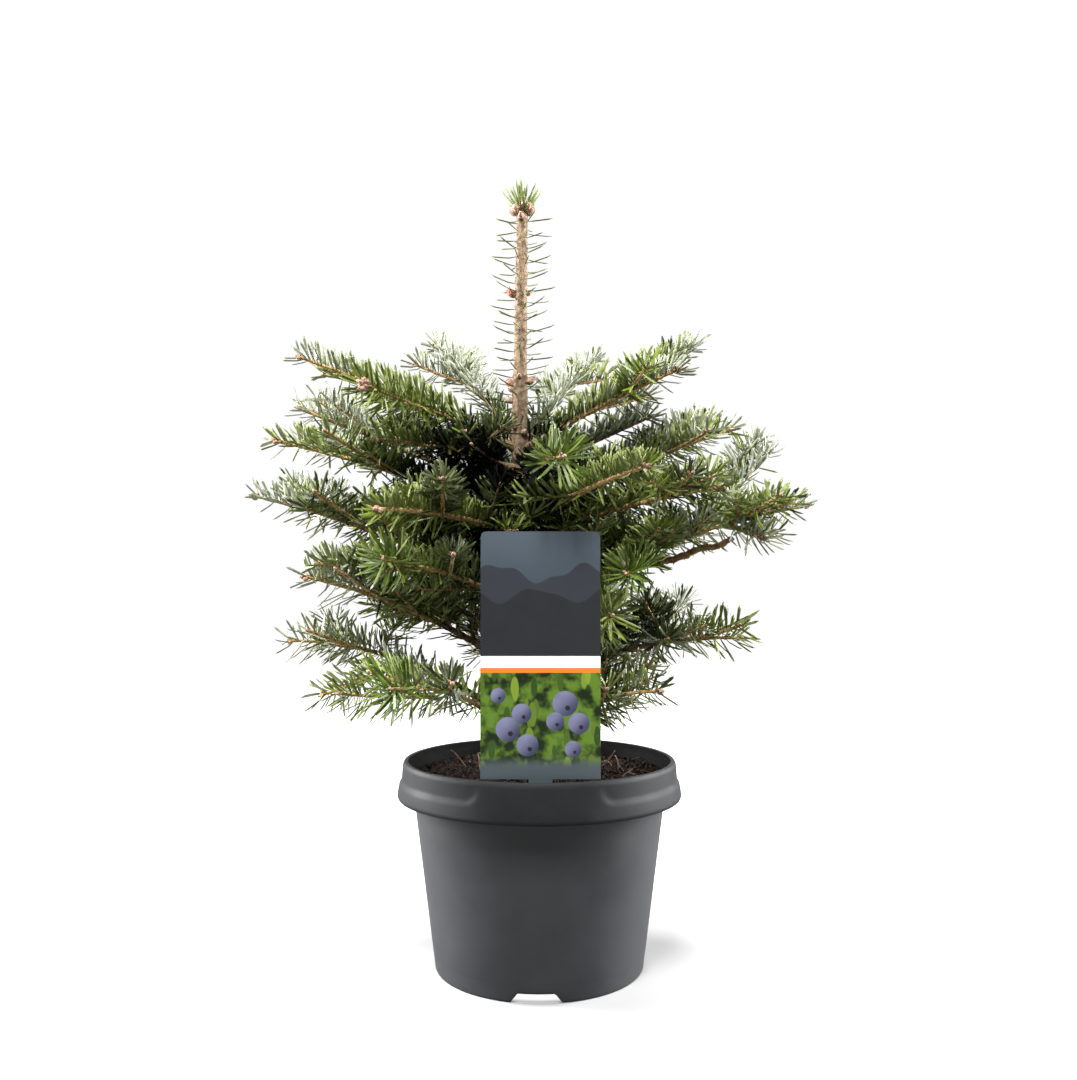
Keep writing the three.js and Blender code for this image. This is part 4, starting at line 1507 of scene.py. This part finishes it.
def makeTwigs():
    pile = Pile("age", "scar")
    draw = np.random.default_rng(bark["seeds"]["twigs"])
    for spray in sprays:
        path = spray["path"]
        radii = np.linspace(*spray["radii"], len(path))
        sides = bark["twigSides"] if spray["kind"] in ("stem", "shoot") else bark["twigSides"] - 1
        rough = 1 + draw.normal(0, 0.14, (len(path), sides))
        points, faces = tube(path, radii[:, None] * rough, sides)
        lit = spray["name"] in shades["lit"] and spray["kind"] == "stem"
        oldness = bark["litAge"] if lit else bark["twigAge"][spray["kind"]]
        # painted shade: as dark as the needles round them near the trunk
        reach = np.interp(path[:, 2], shades["heights"], shades["coreReaches"])
        twigShade = softStep(reach + 6 - np.hypot(path[:, 0] + 9, path[:, 1]), 0, 12)
        twigShade *= 0.3 if lit else 1.0
        age = np.repeat(np.maximum(np.linspace(oldness, 0.0, len(path)), twigShade), sides)
        scar = np.clip(draw.normal(0.0, 0.3, len(path) * sides), 0, 0.7)
        pile.add(points, faces, age=np.append(age, (oldness, 0)), scar=np.append(scar, (0, 0)))
    addStub(pile, draw)
    barkPiece(pile, "twigs", twigLook)


makeTrunk()
makeBoughs()
makeTwigs()
print("bark is on")

# buds

buds = {
    "length": 4.4,
    "width": 3.1,
    "variation": 0.08,
    "seed": 31,
    "twigShare": 0.3,  # of the finest twigs that end in one
    # how many end a run and how big
    "ripe": (9, 1.35),  # the thick shoot
    "stem": (3, 0.85),
    "shoot": (2, 0.72),
    "star": (2, 0.6),
    "twig": (1, 0.55),
    "leader": (6, 1.15),
    "leaderHeight": 434.5,
    "colors": ((128, 84, 62), (196, 164, 142)),
    "redBud": (381, 180),  # height and azimuth on the leader
    "redColors": ((120, 44, 36), (168, 84, 70)),
    "finish": {"scale": 900, "roughness": 0.55, "spread": 0.15, "relief": 0.2, "reliefScale": 1400},
}


# an egg of overlapping scales, along +Y
def budShape(name, seed):
    draw = np.random.default_rng(seed)
    sides = 8
    shares = (0.0, 0.18, 0.4, 0.62, 0.82)
    halves = (0.3, 0.46, 0.5, 0.4, 0.22)
    rings = []
    for i, (share, half) in enumerate(zip(shares, halves)):
        angles = (np.arange(sides) + 0.5 * (i % 2)) * 2 * math.pi / sides
        bulge = half * (1 + draw.normal(0, 0.06, sides) + 0.08 * (np.arange(sides) % 2))
        along = np.full(sides, share)
        rings.append(np.stack([bulge * np.cos(angles), along, bulge * np.sin(angles)], axis=1))
    points = np.vstack([*rings, [(0, 0, 0)], [(0, 1, 0)]])
    return pileOf(points / mm, closedFaces(len(shares), sides, flipped=True)).build(name)


# a bud at the tip and the others round it
def budCluster(sites, draw, tip, along, number, scale):
    flank, top = crossways(along[None, :].copy())
    for k in range(number):
        angle = k * 2 * math.pi / max(1, number - 1) + 0.6
        lean, back, aside, share = (0.75, 1.8, 0.9, 0.85) if k else (0.0, 0.5, 0.0, 1.0)
        out = flank[0] * math.cos(angle) + top[0] * math.sin(angle)
        direction = unit(along + out * lean + draw.normal(0, 0.08, 3))
        place = tip - along * back + out * aside
        grown = scale * draw.uniform(0.85, 1.15) * share
        sites.add(place=place[None, :], along=direction[None, :], face=squared(out, direction)[None, :],
                  size=np.full((1, 3), grown), shape=draw.integers(0, 2, 1))


def sideBud(sites, draw, z, azimuth, scale):
    angle = math.radians(azimuth)
    out = np.array((math.cos(angle), math.sin(angle), 0.0))
    direction = unit(out + np.array((0, 0, 0.55)))
    place = trunkPoint(z) + out * (trunkRadius(z) - 1.0)
    face = np.array([[0, 0, 1.0]]) - direction * direction[2]
    sites.add(place=place[None, :], along=direction[None, :], face=face, size=np.full((1, 3), scale),
              shape=draw.integers(0, 2, 1), tone=int((z, azimuth) == buds["redBud"]))


def layBuds():
    draw = np.random.default_rng(buds["seed"])
    sites = Sites()
    for spray in sprays:
        path, kind = spray["path"], spray["kind"]
        if spray["name"] == thickShoot["name"] and spray["chosen"]:
            kind = "ripe"
        if kind in ("twig", "inner"):
            if draw.random() >= buds["twigShare"]:
                continue
            kind = "twig"
        budCluster(sites, draw, path[-1], unit(path[-1] - path[-2]), *buds[kind])
    budCluster(sites, draw, trunkPoint(buds["leaderHeight"]), np.array((0.0, 0.0, 1.0)), *buds["leader"])
    for row in leader["sideBuds"]:
        sideBud(sites, draw, *row)
    shapes = [budShape("budShape1", 1), budShape("budShape2", 2)]
    tree = layingTree("layBuds", 2, [("Scales", ()), ("Red Scales", (("tone", 1),))])
    piece = layPiece("buds", sites.arrays(), tree, {
        "Length": buds["length"] * mm, "Width": buds["width"] * mm, "Thickness": buds["width"] * mm,
        "Variation": buds["variation"], "Seed": buds["seed"], "Shape 1": shapes[0], "Shape 2": shapes[1],
        "Scales": patchyMaterial("budScales", buds["colors"], **buds["finish"]),
        "Red Scales": patchyMaterial("redBudScales", buds["redColors"], **buds["finish"]),
    })
    piece.data.polygons.foreach_set("use_smooth", [True] * len(piece.data.polygons))
    finishPiece(piece)
    dropObjects(shapes)


layBuds()
print("buds are set")

# pot

pot = {
    "sides": 288,
    "wallFoot": 58.4,
    "wallSlope": 0.1311,
    "panelAzimuths": (-30, 90, 210),
    "panelHalf": 36.0,  # degrees
    "panelFoot": 104.0,
    "panelRadius": 77.2,  # an upright face, so it runs out into the lip
    "panelCorner": 7.0,
    "panelDepth": 0.6,  # share of the way down to that face
    "notchAzimuths": (-91.6, 28.4, 148.4),
    "notchTopHalf": 9.7,
    "notchFootHalf": 13.6,
    "notchHeight": 4.8,
    "notchDepth": 14.0,
    "rimMeasure": 78.0,  # the radii at which the widths of panels and notches are taken
    "footMeasure": 58.0,
    # the rim is painted darker for the shade on it, and from the lip inwards the plastic is dull and painted
    # near black for shade
    "looks": (
        ("potPlastic", ((47, 48, 51), (53, 54, 57)), {"scale": 28, "roughness": 0.46, "specular": 0.4,
                                                      "spread": 0.05, "relief": 0.014, "reliefScale": 900}),
        ("potRim", ((26, 27, 29), (32, 33, 35)), {"scale": 28, "roughness": 0.62, "specular": 0.18,
                                                  "spread": 0.05, "relief": 0.014, "reliefScale": 900}),
        ("potInside", ((3, 3, 3), (8, 8, 8)), {"scale": 60, "roughness": 0.75, "specular": 0.06,
                                               "spread": 0.05, "relief": 0.05, "reliefScale": 700}),
    ),
}


def wallAt(z):
    return pot["wallFoot"] + pot["wallSlope"] * z


# rounds every corner of an outline and splits its long runs
def roundedProfile(corners, longest):
    made = [np.array(corners[0][:2], float)]
    for before, corner, after in zip(corners, corners[1:], corners[2:]):
        here = np.array(corner[:2], float)
        back = np.array(before[:2]) - here
        on = np.array(after[:2]) - here
        radius = min(corner[2], 0.45 * np.linalg.norm(back), 0.45 * np.linalg.norm(on))
        first, last = here + back / np.linalg.norm(back) * radius, here + on / np.linalg.norm(on) * radius
        for t in np.linspace(0, 1, 5):
            made.append(first * (1 - t) ** 2 + here * 2 * t * (1 - t) + last * t * t)
    made.append(np.array(corners[-1][:2], float))
    fine = [made[0]]
    for point in made[1:]:
        pieces = max(1, math.ceil(np.linalg.norm(point - fine[-1]) / longest))
        start = fine[-1]
        fine += [start + (point - start) * (i + 1) / pieces for i in range(pieces)]
    return np.array(fine)


# radius and height of each ring of the pot, from the middle of its foot round to the middle of its floor
def potRings():
    # radius, height, rounding
    outside = roundedProfile([
        (0, 0, 0), (44.0, 0, 0.1), (57.9, 0, 0.3), (58.5, 0.9, 0.6), (wallAt(9.0) - 0.05, 9.0, 0.4),
        (wallAt(10.0), 10.0, 0.4), (wallAt(113.4), 113.4, 0.6), (74.8, 113.4, 0.5), (76.8, 98, 0.5),
        (77.4, 94.4, 0.5), (79.4, 94.4, 0.6), (80.2, 96, 1.2), (79.7, 99.5, 1.0), (77.2, 113.2, 1.8),
        (76.2, 115.2, 0.8), (74.3, 115.2, 0.8), (wallAt(111.2) - 1.3, 111.2, 1.5),
        (wallAt(6.5) - 1.3, 6.5, 2.0), (0, 6.5, 0),
    ], 3.2)
    # finer ones on the rim, where the panels are
    rows = [outside[0]]
    for point in outside[1:]:
        start = rows[-1]
        onRim = start[0] > 76.4 and start[1] > 95
        pieces = max(1, math.ceil(np.linalg.norm(point - start) / 0.9)) if onRim else 1
        rows += [start + (point - start) * (i + 1) / pieces for i in range(pieces)]
    return np.array(rows)


def turnFrom(angles, azimuth):
    return (angles - math.radians(azimuth) + math.pi) % (2 * math.pi) - math.pi


# how far each point is pressed in by a recessed panel of the rim, from 0 to 1
def panelMask(angles, height):
    panel = np.zeros_like(height)
    corner = pot["panelCorner"]
    for azimuth in pot["panelAzimuths"]:
        beyond = np.abs(turnFrom(angles, azimuth))[None, :] - math.radians(pot["panelHalf"])
        across = beyond * pot["rimMeasure"] + corner
        down = pot["panelFoot"] + corner - height
        outsideCorner = np.hypot(np.maximum(across, 0), np.maximum(down, 0)) - corner
        inside = np.minimum(np.maximum(across, down), 0)
        panel = np.maximum(panel, softStep(-(outsideCorner + inside), -2.0, 1.8))
    return panel


# lifts the foot where a notch is
def notched(angles, radius, height):
    outer = np.arange(len(radius))[:, None] < len(radius) // 2
    atFoot = outer & (radius > pot["wallFoot"] - pot["notchDepth"])
    for azimuth in pot["notchAzimuths"]:
        across = np.abs(turnFrom(angles, azimuth)) * pot["footMeasure"]
        share = (pot["notchFootHalf"] - across) / (pot["notchFootHalf"] - pot["notchTopHalf"])
        rise = (pot["notchHeight"] * np.clip(share, 0, 1))[None, :]
        lifted = rise + height * (1 - rise / 6.0)
        height = np.where(atFoot & (height < 6.0), np.maximum(height, lifted), height)
    return height


def makePot():
    rows = potRings()
    sides = pot["sides"]
    angles = np.arange(sides) * 2 * math.pi / sides
    radius = np.repeat(rows[1:-1, :1], sides, axis=1)
    height = np.repeat(rows[1:-1, 1:], sides, axis=1)
    onSkirt = (radius > 76.6) & (height > 96)
    inward = np.minimum(radius, pot["panelRadius"]) - radius
    radius = np.where(onSkirt, radius + inward * panelMask(angles, height) * pot["panelDepth"], radius)
    height = notched(angles, radius, height)
    ring = np.stack([radius * np.cos(angles), radius * np.sin(angles), height], axis=2)
    points = np.vstack([ring.reshape(-1, 3), [(0, 0, rows[0][1])], [(0, 0, rows[-1][1])]])
    piece = pileOf(points, closedFaces(len(radius), sides)).build("pot_shell")
    for name, colors, finish in pot["looks"]:
        piece.data.materials.append(patchyMaterial(name, colors, **finish))
    lip = int(np.argmax(rows[1:-1, 1])) + 4
    skirt = int(np.argmax(rows[1:-1, 0] > 74.5))
    row = np.array([face.vertices[0] // sides for face in piece.data.polygons])
    # the rim and the inside take the painted shade
    slots = np.where(row >= lip, 2, np.where(row >= skirt, 1, 0))
    slots[-2 * sides:] = np.tile((0, 2), sides)
    piece.data.polygons.foreach_set("material_index", slots.astype(np.int32))
    finishPiece(piece, ["pot"])
    print("  pot_shell", 2 * len(radius) * sides, "triangles")


makePot()

# soil

soil = {
    "edge": 106.8,
    "middle": 108.0,
    "foot": 6.8,
    "wall": 1.6,  # how thick the pot is round it
    "reach": 70.6,
    "rings": 60,
    "sides": 160,
    "groundSides": 96,  # of the band that the crumbs are strewn on
    "groundRings": 24,
    "bumps": 0.9,
    "crumbs": 5200,
    "crumbSizes": (0.7, 3.9),
    "seed": 12,
    "litter": 16,  # dry needles
    "colors": ((9, 5, 3), (24, 14, 9)),
    "finish": {"scale": 520, "roughness": 0.95, "specular": 0.08, "relief": 0.5, "reliefScale": 900},
    "crumbColors": ((10, 7, 5), (44, 28, 20)),
    "crumbFinish": {"scale": 320, "roughness": 0.85, "specular": 0.14, "relief": 0.25, "reliefScale": 1600},
    "litterColors": ((66, 44, 28), (108, 78, 50)),
    "litterFinish": {"scale": 300, "roughness": 0.8},
    "litterReach": 66.0,
    "litterSize": (12.0, 1.4, 0.5),  # length, width, thickness
    "stalks": 9,
    "stalksRight": 6,  # and the rest on the left
    "rightPatch": ((30, 48), (-22, 18)),  # across and in depth
    "leftPatch": ((-45, -25), (-20, 20)),
    "stalkReach": 9.0,
}


def soilHeight(x, y):
    radius = np.hypot(x, y)
    base = soil["middle"] + (soil["edge"] - soil["middle"]) * radius / soil["reach"]
    lumps = (np.sin(x * 0.31 + 1.3) * np.cos(y * 0.27) + np.sin(x * 0.83 + y * 0.6) * 0.6
             + np.sin(x * 1.7 - y * 1.9) * 0.35)
    return base + soil["bumps"] * lumps * 0.5


def makeSoil():
    draw = np.random.default_rng(soil["seed"])
    rings, sides = soil["rings"], soil["sides"]
    reach = wallAt(soil["edge"]) - soil["wall"]
    radius = reach * (np.arange(1, rings + 1) / rings)[:, None]
    angles = np.arange(sides) * 2 * math.pi / sides
    x, y = radius * np.cos(angles), radius * np.sin(angles)
    z = soilHeight(x, y) + draw.normal(0, 0.22, x.shape)
    top = np.stack([x, y, z], axis=2).reshape(-1, 3)
    reach = wallAt(soil["foot"]) - soil["wall"]
    foot = np.stack([reach * np.cos(angles), reach * np.sin(angles), np.full(sides, soil["foot"])], axis=1)
    points = np.vstack([top, foot, [(0, 0, soil["middle"])], [(0, 0, soil["foot"])]])
    piece = pileOf(points, closedFaces(rings + 1, sides, flipped=True)).build("soil_bed")
    piece.data.materials.append(patchyMaterial("peat", soil["colors"], **soil["finish"]))
    finishPiece(piece, ["soil"])


# a rough lump of twenty faces
def lumpShape(name, seed):
    draw = np.random.default_rng(seed)
    golden = (1 + 5 ** 0.5) / 2
    corners = []
    for a in (-1, 1):
        for b in (-golden, golden):
            corners += [(0, a, b), (a, b, 0), (b, 0, a)]
    corners = unit(np.array(corners, float)) * draw.uniform(0.32, 0.58, (12, 1))
    mesh = bpy.data.meshes.new(name)
    form = bmesh.new()
    made = [form.verts.new(corner) for corner in corners]
    bmesh.ops.convex_hull(form, input=made)
    form.to_mesh(mesh)
    form.free()
    return addObject(name, mesh)


def crumbTree():
    tree, start, end = newGroup(
        "strewCrumbs", "GeometryNodeTree",
        (("Ground", "NodeSocketGeometry", None), ("Density", "NodeSocketFloat", 1000.0),
         ("Smallest", "NodeSocketFloat", 0.001), ("Largest", "NodeSocketFloat", 0.002),
         ("Seed", "NodeSocketInt", 0), ("Lump 1", "NodeSocketObject", None),
         ("Lump 2", "NodeSocketObject", None), ("Lump 3", "NodeSocketObject", None),
         ("Crumb", "NodeSocketMaterial", None)),
        (("Strewn", "NodeSocketGeometry"),))
    strew = addNode(tree, "GeometryNodeDistributePointsOnFaces", distribute_method="RANDOM")
    pool = poolOf(tree, start, "Lump", 3)
    turn = addNode(tree, "FunctionNodeRandomValue", data_type="FLOAT_VECTOR")
    ofKind(turn.inputs, "VECTOR")[1].default_value = (6.283, 6.283, 6.283)  # a full turn
    rotate = addNode(tree, "FunctionNodeEulerToRotation")
    chance = addNode(tree, "FunctionNodeRandomValue", data_type="FLOAT")
    # most of them are small
    share = calcNode(tree, "POWER", ofKind(chance.outputs, "VALUE")[0], 3.0)
    size = addNode(tree, "ShaderNodeMapRange")
    paint = addNode(tree, "GeometryNodeSetMaterial")
    joinUp(
        tree,
        (start.outputs["Ground"], strew.inputs["Mesh"]),
        (start.outputs["Density"], strew.inputs["Density"]),
        *((start.outputs["Seed"], node.inputs["Seed"]) for node in (strew, turn, chance)),
        (share, size.inputs["Value"]),
        (start.outputs["Smallest"], size.inputs["To Min"]),
        (start.outputs["Largest"], size.inputs["To Max"]),
        (ofKind(turn.outputs, "VECTOR")[0], rotate.inputs[0]),
    )
    laid = layPicks(tree, strew.outputs["Points"], pool, Rotation=rotate.outputs[0],
                    Scale=size.outputs["Result"])
    joinUp(tree, (laid, paint.inputs["Geometry"]), (start.outputs["Crumb"], paint.inputs["Material"]),
           (paint.outputs[0], end.inputs["Strewn"]))
    return tree


def strewCrumbs():
    sides, rings = soil["groundSides"], soil["groundRings"]
    reach = wallAt(soil["edge"]) - 2 * soil["wall"]
    angles = np.arange(sides) * 2 * math.pi / sides
    shares = np.arange(rings + 1) / rings
    radius = (plant["flareRadius"] - 1 + (reach - plant["flareRadius"]) * shares)[:, None]
    x, y = radius * np.cos(angles), radius * np.sin(angles)
    x = x + np.interp(radius, (12, 40), (trunkX(107), 0))
    points = np.stack([x, y, soilHeight(x, y) + 0.15], axis=2).reshape(-1, 3)
    piece = pileOf(points, bandFaces(rings + 1, sides, flipped=True)).build("soil_crumbs")
    lumps = [lumpShape(f"lump{i + 1}", 60 + i) for i in range(3)]
    tree = crumbTree()
    modifier = piece.modifiers.new("strew", "NODES")
    modifier.node_group = tree
    area = math.pi * (reach * mm) ** 2
    smallest, largest = soil["crumbSizes"]
    setInputs(modifier, tree, {
        "Density": soil["crumbs"] / area, "Smallest": smallest * mm, "Largest": largest * mm,
        "Seed": soil["seed"], "Lump 1": lumps[0], "Lump 2": lumps[1], "Lump 3": lumps[2],
        "Crumb": patchyMaterial("peatCrumbs", soil["crumbColors"], **soil["crumbFinish"]),
    })
    settle(piece)
    finishPiece(piece)
    dropObjects(lumps)


def stalkFoot(draw, patch):
    x, y = (draw.uniform(*span) for span in patch)
    return np.array((x, y, soilHeight(x, y) - 0.5))


# dry needles and thin dead stalks on the peat
def strewLitter():
    draw = np.random.default_rng(soil["seed"] + 1)
    count = soil["litter"]
    angle = draw.uniform(0, 2 * math.pi, count)
    reach = soil["litterReach"] * np.sqrt(draw.uniform(0.06, 0.95, count))
    x, y = reach * np.cos(angle), reach * np.sin(angle)
    turn = draw.uniform(0, 2 * math.pi, count)
    direction = unit(np.stack([np.cos(turn), np.sin(turn), draw.uniform(-0.05, 0.15, count)], axis=1))
    sites = Sites()
    face = np.array((0.0, 0.0, 1.0)) + draw.normal(0, 0.3, (count, 3))
    sites.add(place=np.stack([x, y, soilHeight(x, y) + 1.4], axis=1), along=direction,
              face=squared(face, direction),
              size=np.stack([np.full(count, 0.75), draw.uniform(0.6, 1.0, count), np.ones(count)], axis=1),
              shape=draw.integers(0, 2, count))
    shapes = [needleShape(f"dryNeedle{i + 1}", *needleBends[i + 1]) for i in range(2)]
    look = patchyMaterial("dryNeedle", soil["litterColors"], **soil["litterFinish"])
    long, wide, thick = soil["litterSize"]
    piece = layPiece("soil_litter", sites.arrays(), layingTree("layLitter", 2, [("Dry", ())]), {
        "Length": long * mm, "Width": wide * mm, "Thickness": thick * mm, "Variation": 0.2, "Seed": 3,
        "Shape 1": shapes[0], "Shape 2": shapes[1], "Dry": look,
    })
    finishPiece(piece)
    dropObjects(shapes)
    pile = Pile()
    for i in range(soil["stalks"]):
        foot = stalkFoot(draw, soil["rightPatch"])
        if i >= soil["stalksRight"]:
            foot = stalkFoot(draw, soil["leftPatch"])
        lean, long = draw.uniform(0, 2 * math.pi), soil["stalkReach"]
        tip = foot + np.array((math.cos(lean) * long, math.sin(lean) * long, draw.uniform(3, 11)))
        path = bezier(foot, tip, draw.uniform(-4, 2), 7)
        points, faces = tube(path, np.linspace(0.5, 0.3, 8)[:, None] * (1 + draw.normal(0, 0.1, (8, 5))), 5)
        pile.add(points, faces)
    stalks = pile.build("soil_stalks")
    stalks.data.materials.append(look)
    finishPiece(stalks)


makeSoil()
strewCrumbs()
strewLitter()
print("pot and soil are in")

# plant label

# across and up are millimetres from its lower left corner; two edges are where a colour begins and is full
label = {
    "left": -30.0,
    "foot": 115.6,
    "front": (-0.06725, -0.06735),  # metres, the printed side
    "sky": ((68, 77, 86), (80, 90, 99)),
    "skyEdges": (96, 125),
    # two ranges of hills: colour, then two waves as step, phase, height and base
    "ranges": (
        ((54, 58, 64), (0.14, 0.4, 4.2, 104), (0.37, 1.0, 1.3, 0)),
        ((43, 44, 47), (0.17, 3.0, 3.4, 93), (0.29, 2.0, 1.2, 0)),
    ),
    "hillEdges": (-0.15, 0.15),
    "growth": ((22, 38, 14), (96, 128, 40)),
    "growthEdges": (0.38, 0.62),
    "cloudScale": 130,
    "cloudDetail": 3,
    "leafLayers": ((0.7, 210, 0.5), (-0.5, 165, 1.0)),  # lean, scale, light
    "leafStretch": (1.0, 1.0, 0.34),
    "leaf": ((46, 74, 26), (132, 158, 52)),
    "leafMiddle": (176, 190, 104),
    "berries": ((14, 25, 6.2), (24, 17, 5.6), (21, 33, 5.0), (43, 38, 6.4), (50, 28, 5.4), (38, 29, 4.6),
                (9, 42, 3.8), (47, 15, 4.2)),  # across, up, radius
    "berrySides": ((46, 48, 70), (150, 152, 184)),
    "berryBloom": (84, 86, 116),
    "berryCrown": (34, 34, 46),
    "pictureTop": (56.2, 55.9),
    # colour, lower edges, upper edges
    "bands": (
        ((252, 252, 250), (55.9, 56.1), (62.1, 61.9)),
        ((232, 132, 44), (53.4, 53.6), (56.0, 55.8)),
    ),
    "strip": (78, 88, 92),
    "stripEdges": (12.0, 5.5),
    "back": (206, 208, 206),
    "gloss": (0.08, 0.3),  # how much the roughness varies, and its least
}


# a soft-edged disc on the card, with its shade from one side
def makeDisc():
    tree, start, end = newGroup(
        "printedDisc", "ShaderNodeTree",
        (("Across", "NodeSocketFloat", 0.0), ("Up", "NodeSocketFloat", 0.0), ("X", "NodeSocketFloat", 0.0),
         ("Y", "NodeSocketFloat", 0.0), ("Radius", "NodeSocketFloat", 5.0)),
        (("Mask", "NodeSocketFloat"), ("Shade", "NodeSocketFloat")))
    calc = partial(calcNode, tree)
    across, up, x, y, radius = list(start.outputs)[:5]
    dx = calc("SUBTRACT", across, x)
    dy = calc("SUBTRACT", up, y)
    away = calc("SQRT", calc("ADD", calc("MULTIPLY", dx, dx), calc("MULTIPLY", dy, dy)))
    inside = rampNode(tree, calc("SUBTRACT", away, radius), 0.12, -0.12)
    shade = rampNode(tree, calc("DIVIDE", calc("SUBTRACT", dy, dx), radius), -1.3, 1.2)
    joinUp(tree, (inside, end.inputs["Mask"]), (shade, end.inputs["Shade"]))
    return tree


def labelMaterial():
    look, tree, shader = newMaterial("labelPrint")
    calc, mixed, soft = partial(calcNode, tree), partial(mixNode, tree), partial(rampNode, tree)
    place = addNode(tree, "ShaderNodeTexCoord").outputs["Object"]
    split = addNode(tree, "ShaderNodeSeparateXYZ")
    joinUp(tree, (place, split.inputs[0]))
    across = calc("ADD", calc("MULTIPLY", split.outputs["X"], 1 / mm), -label["left"])
    up = calc("ADD", calc("MULTIPLY", split.outputs["Z"], 1 / mm), -label["foot"])

    def wave(step, phase, height, base):
        turn = calc("MULTIPLY_ADD", across, step, phase)
        return calc("MULTIPLY_ADD", calc("SINE", turn), height, base)

    skyLow, skyHigh = label["sky"]
    color = mixed(soft(up, *label["skyEdges"]), srgb(*skyLow), srgb(*skyHigh))
    for shade, broad, fine in label["ranges"]:
        crest = calc("ADD", wave(*broad), wave(*fine))
        color = mixed(soft(calc("SUBTRACT", crest, up), *label["hillEdges"]), color, srgb(*shade))

    # the picture below: blurred growth, two layers of leaves, then berries
    clouds = addNode(tree, "ShaderNodeTexNoise")
    clouds.inputs["Scale"].default_value = label["cloudScale"]
    clouds.inputs["Detail"].default_value = label["cloudDetail"]
    joinUp(tree, (place, clouds.inputs["Vector"]))
    darkGrowth, lightGrowth = label["growth"]
    green = mixed(soft(clouds.outputs["Fac"], *label["growthEdges"]), srgb(*darkGrowth), srgb(*lightGrowth))
    darkLeaf, lightLeaf = label["leaf"]
    for lean, scale, light in label["leafLayers"]:
        stretch = addNode(tree, "ShaderNodeMapping")
        stretch.inputs["Rotation"].default_value = (0, lean, 0)
        stretch.inputs["Scale"].default_value = label["leafStretch"]
        leaves = addNode(tree, "ShaderNodeTexVoronoi", feature="F1")
        leaves.inputs["Scale"].default_value = scale
        varied = addNode(tree, "ShaderNodeSeparateColor")
        joinUp(tree, (place, stretch.inputs["Vector"]), (stretch.outputs[0], leaves.inputs["Vector"]),
               (leaves.outputs["Color"], varied.inputs[0]))
        leaf = mixed(calc("MULTIPLY", varied.outputs[0], light), srgb(*darkLeaf), srgb(*lightLeaf))
        leaf = mixed(soft(leaves.outputs["Distance"], 0.07, 0.0), leaf, srgb(*label["leafMiddle"]))
        inLeaf = soft(leaves.outputs["Distance"], 0.40, 0.33)
        green = mixed(calc("MULTIPLY", inLeaf, soft(varied.outputs[1], 0.3, 0.36)), green, leaf)
    disc = makeDisc()

    def printDisc(x, y, radius):
        node = addNode(tree, "ShaderNodeGroup", node_tree=disc)
        feed(tree, node.inputs, across, up, x, y, radius)
        return node.outputs

    darkSide, lightSide = label["berrySides"]
    for x, y, radius in label["berries"]:
        berry = printDisc(x, y, radius)
        bloom = mixed(berry["Shade"], srgb(*darkSide), srgb(*lightSide))
        bloom = mixed(calc("MULTIPLY", clouds.outputs["Fac"], 0.8), bloom, srgb(*label["berryBloom"]))
        green = mixed(berry["Mask"], green, bloom)
        crown = printDisc(x + 0.2 * radius, y - 0.35 * radius, 0.2 * radius)
        green = mixed(crown["Mask"], green, srgb(*label["berryCrown"]))

    color = mixed(soft(up, *label["pictureTop"]), color, green)
    for shade, lower, upper in label["bands"]:
        color = mixed(calc("MULTIPLY", soft(up, *lower), soft(up, *upper)), color, srgb(*shade))
    color = mixed(soft(up, *label["stripEdges"]), color, srgb(*label["strip"]))
    color = mixed(soft(split.outputs["Y"], *label["front"]), srgb(*label["back"]), color)
    gloss = calc("MULTIPLY_ADD", soft(clouds.outputs["Fac"], 0.2, 0.8), *label["gloss"])
    joinUp(tree, (color, shader.inputs["Base Color"]), (gloss, shader.inputs["Roughness"]))
    return look


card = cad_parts["plant_label"]
card.data.materials.clear()
card.data.materials.append(labelMaterial())
print("label is printed")
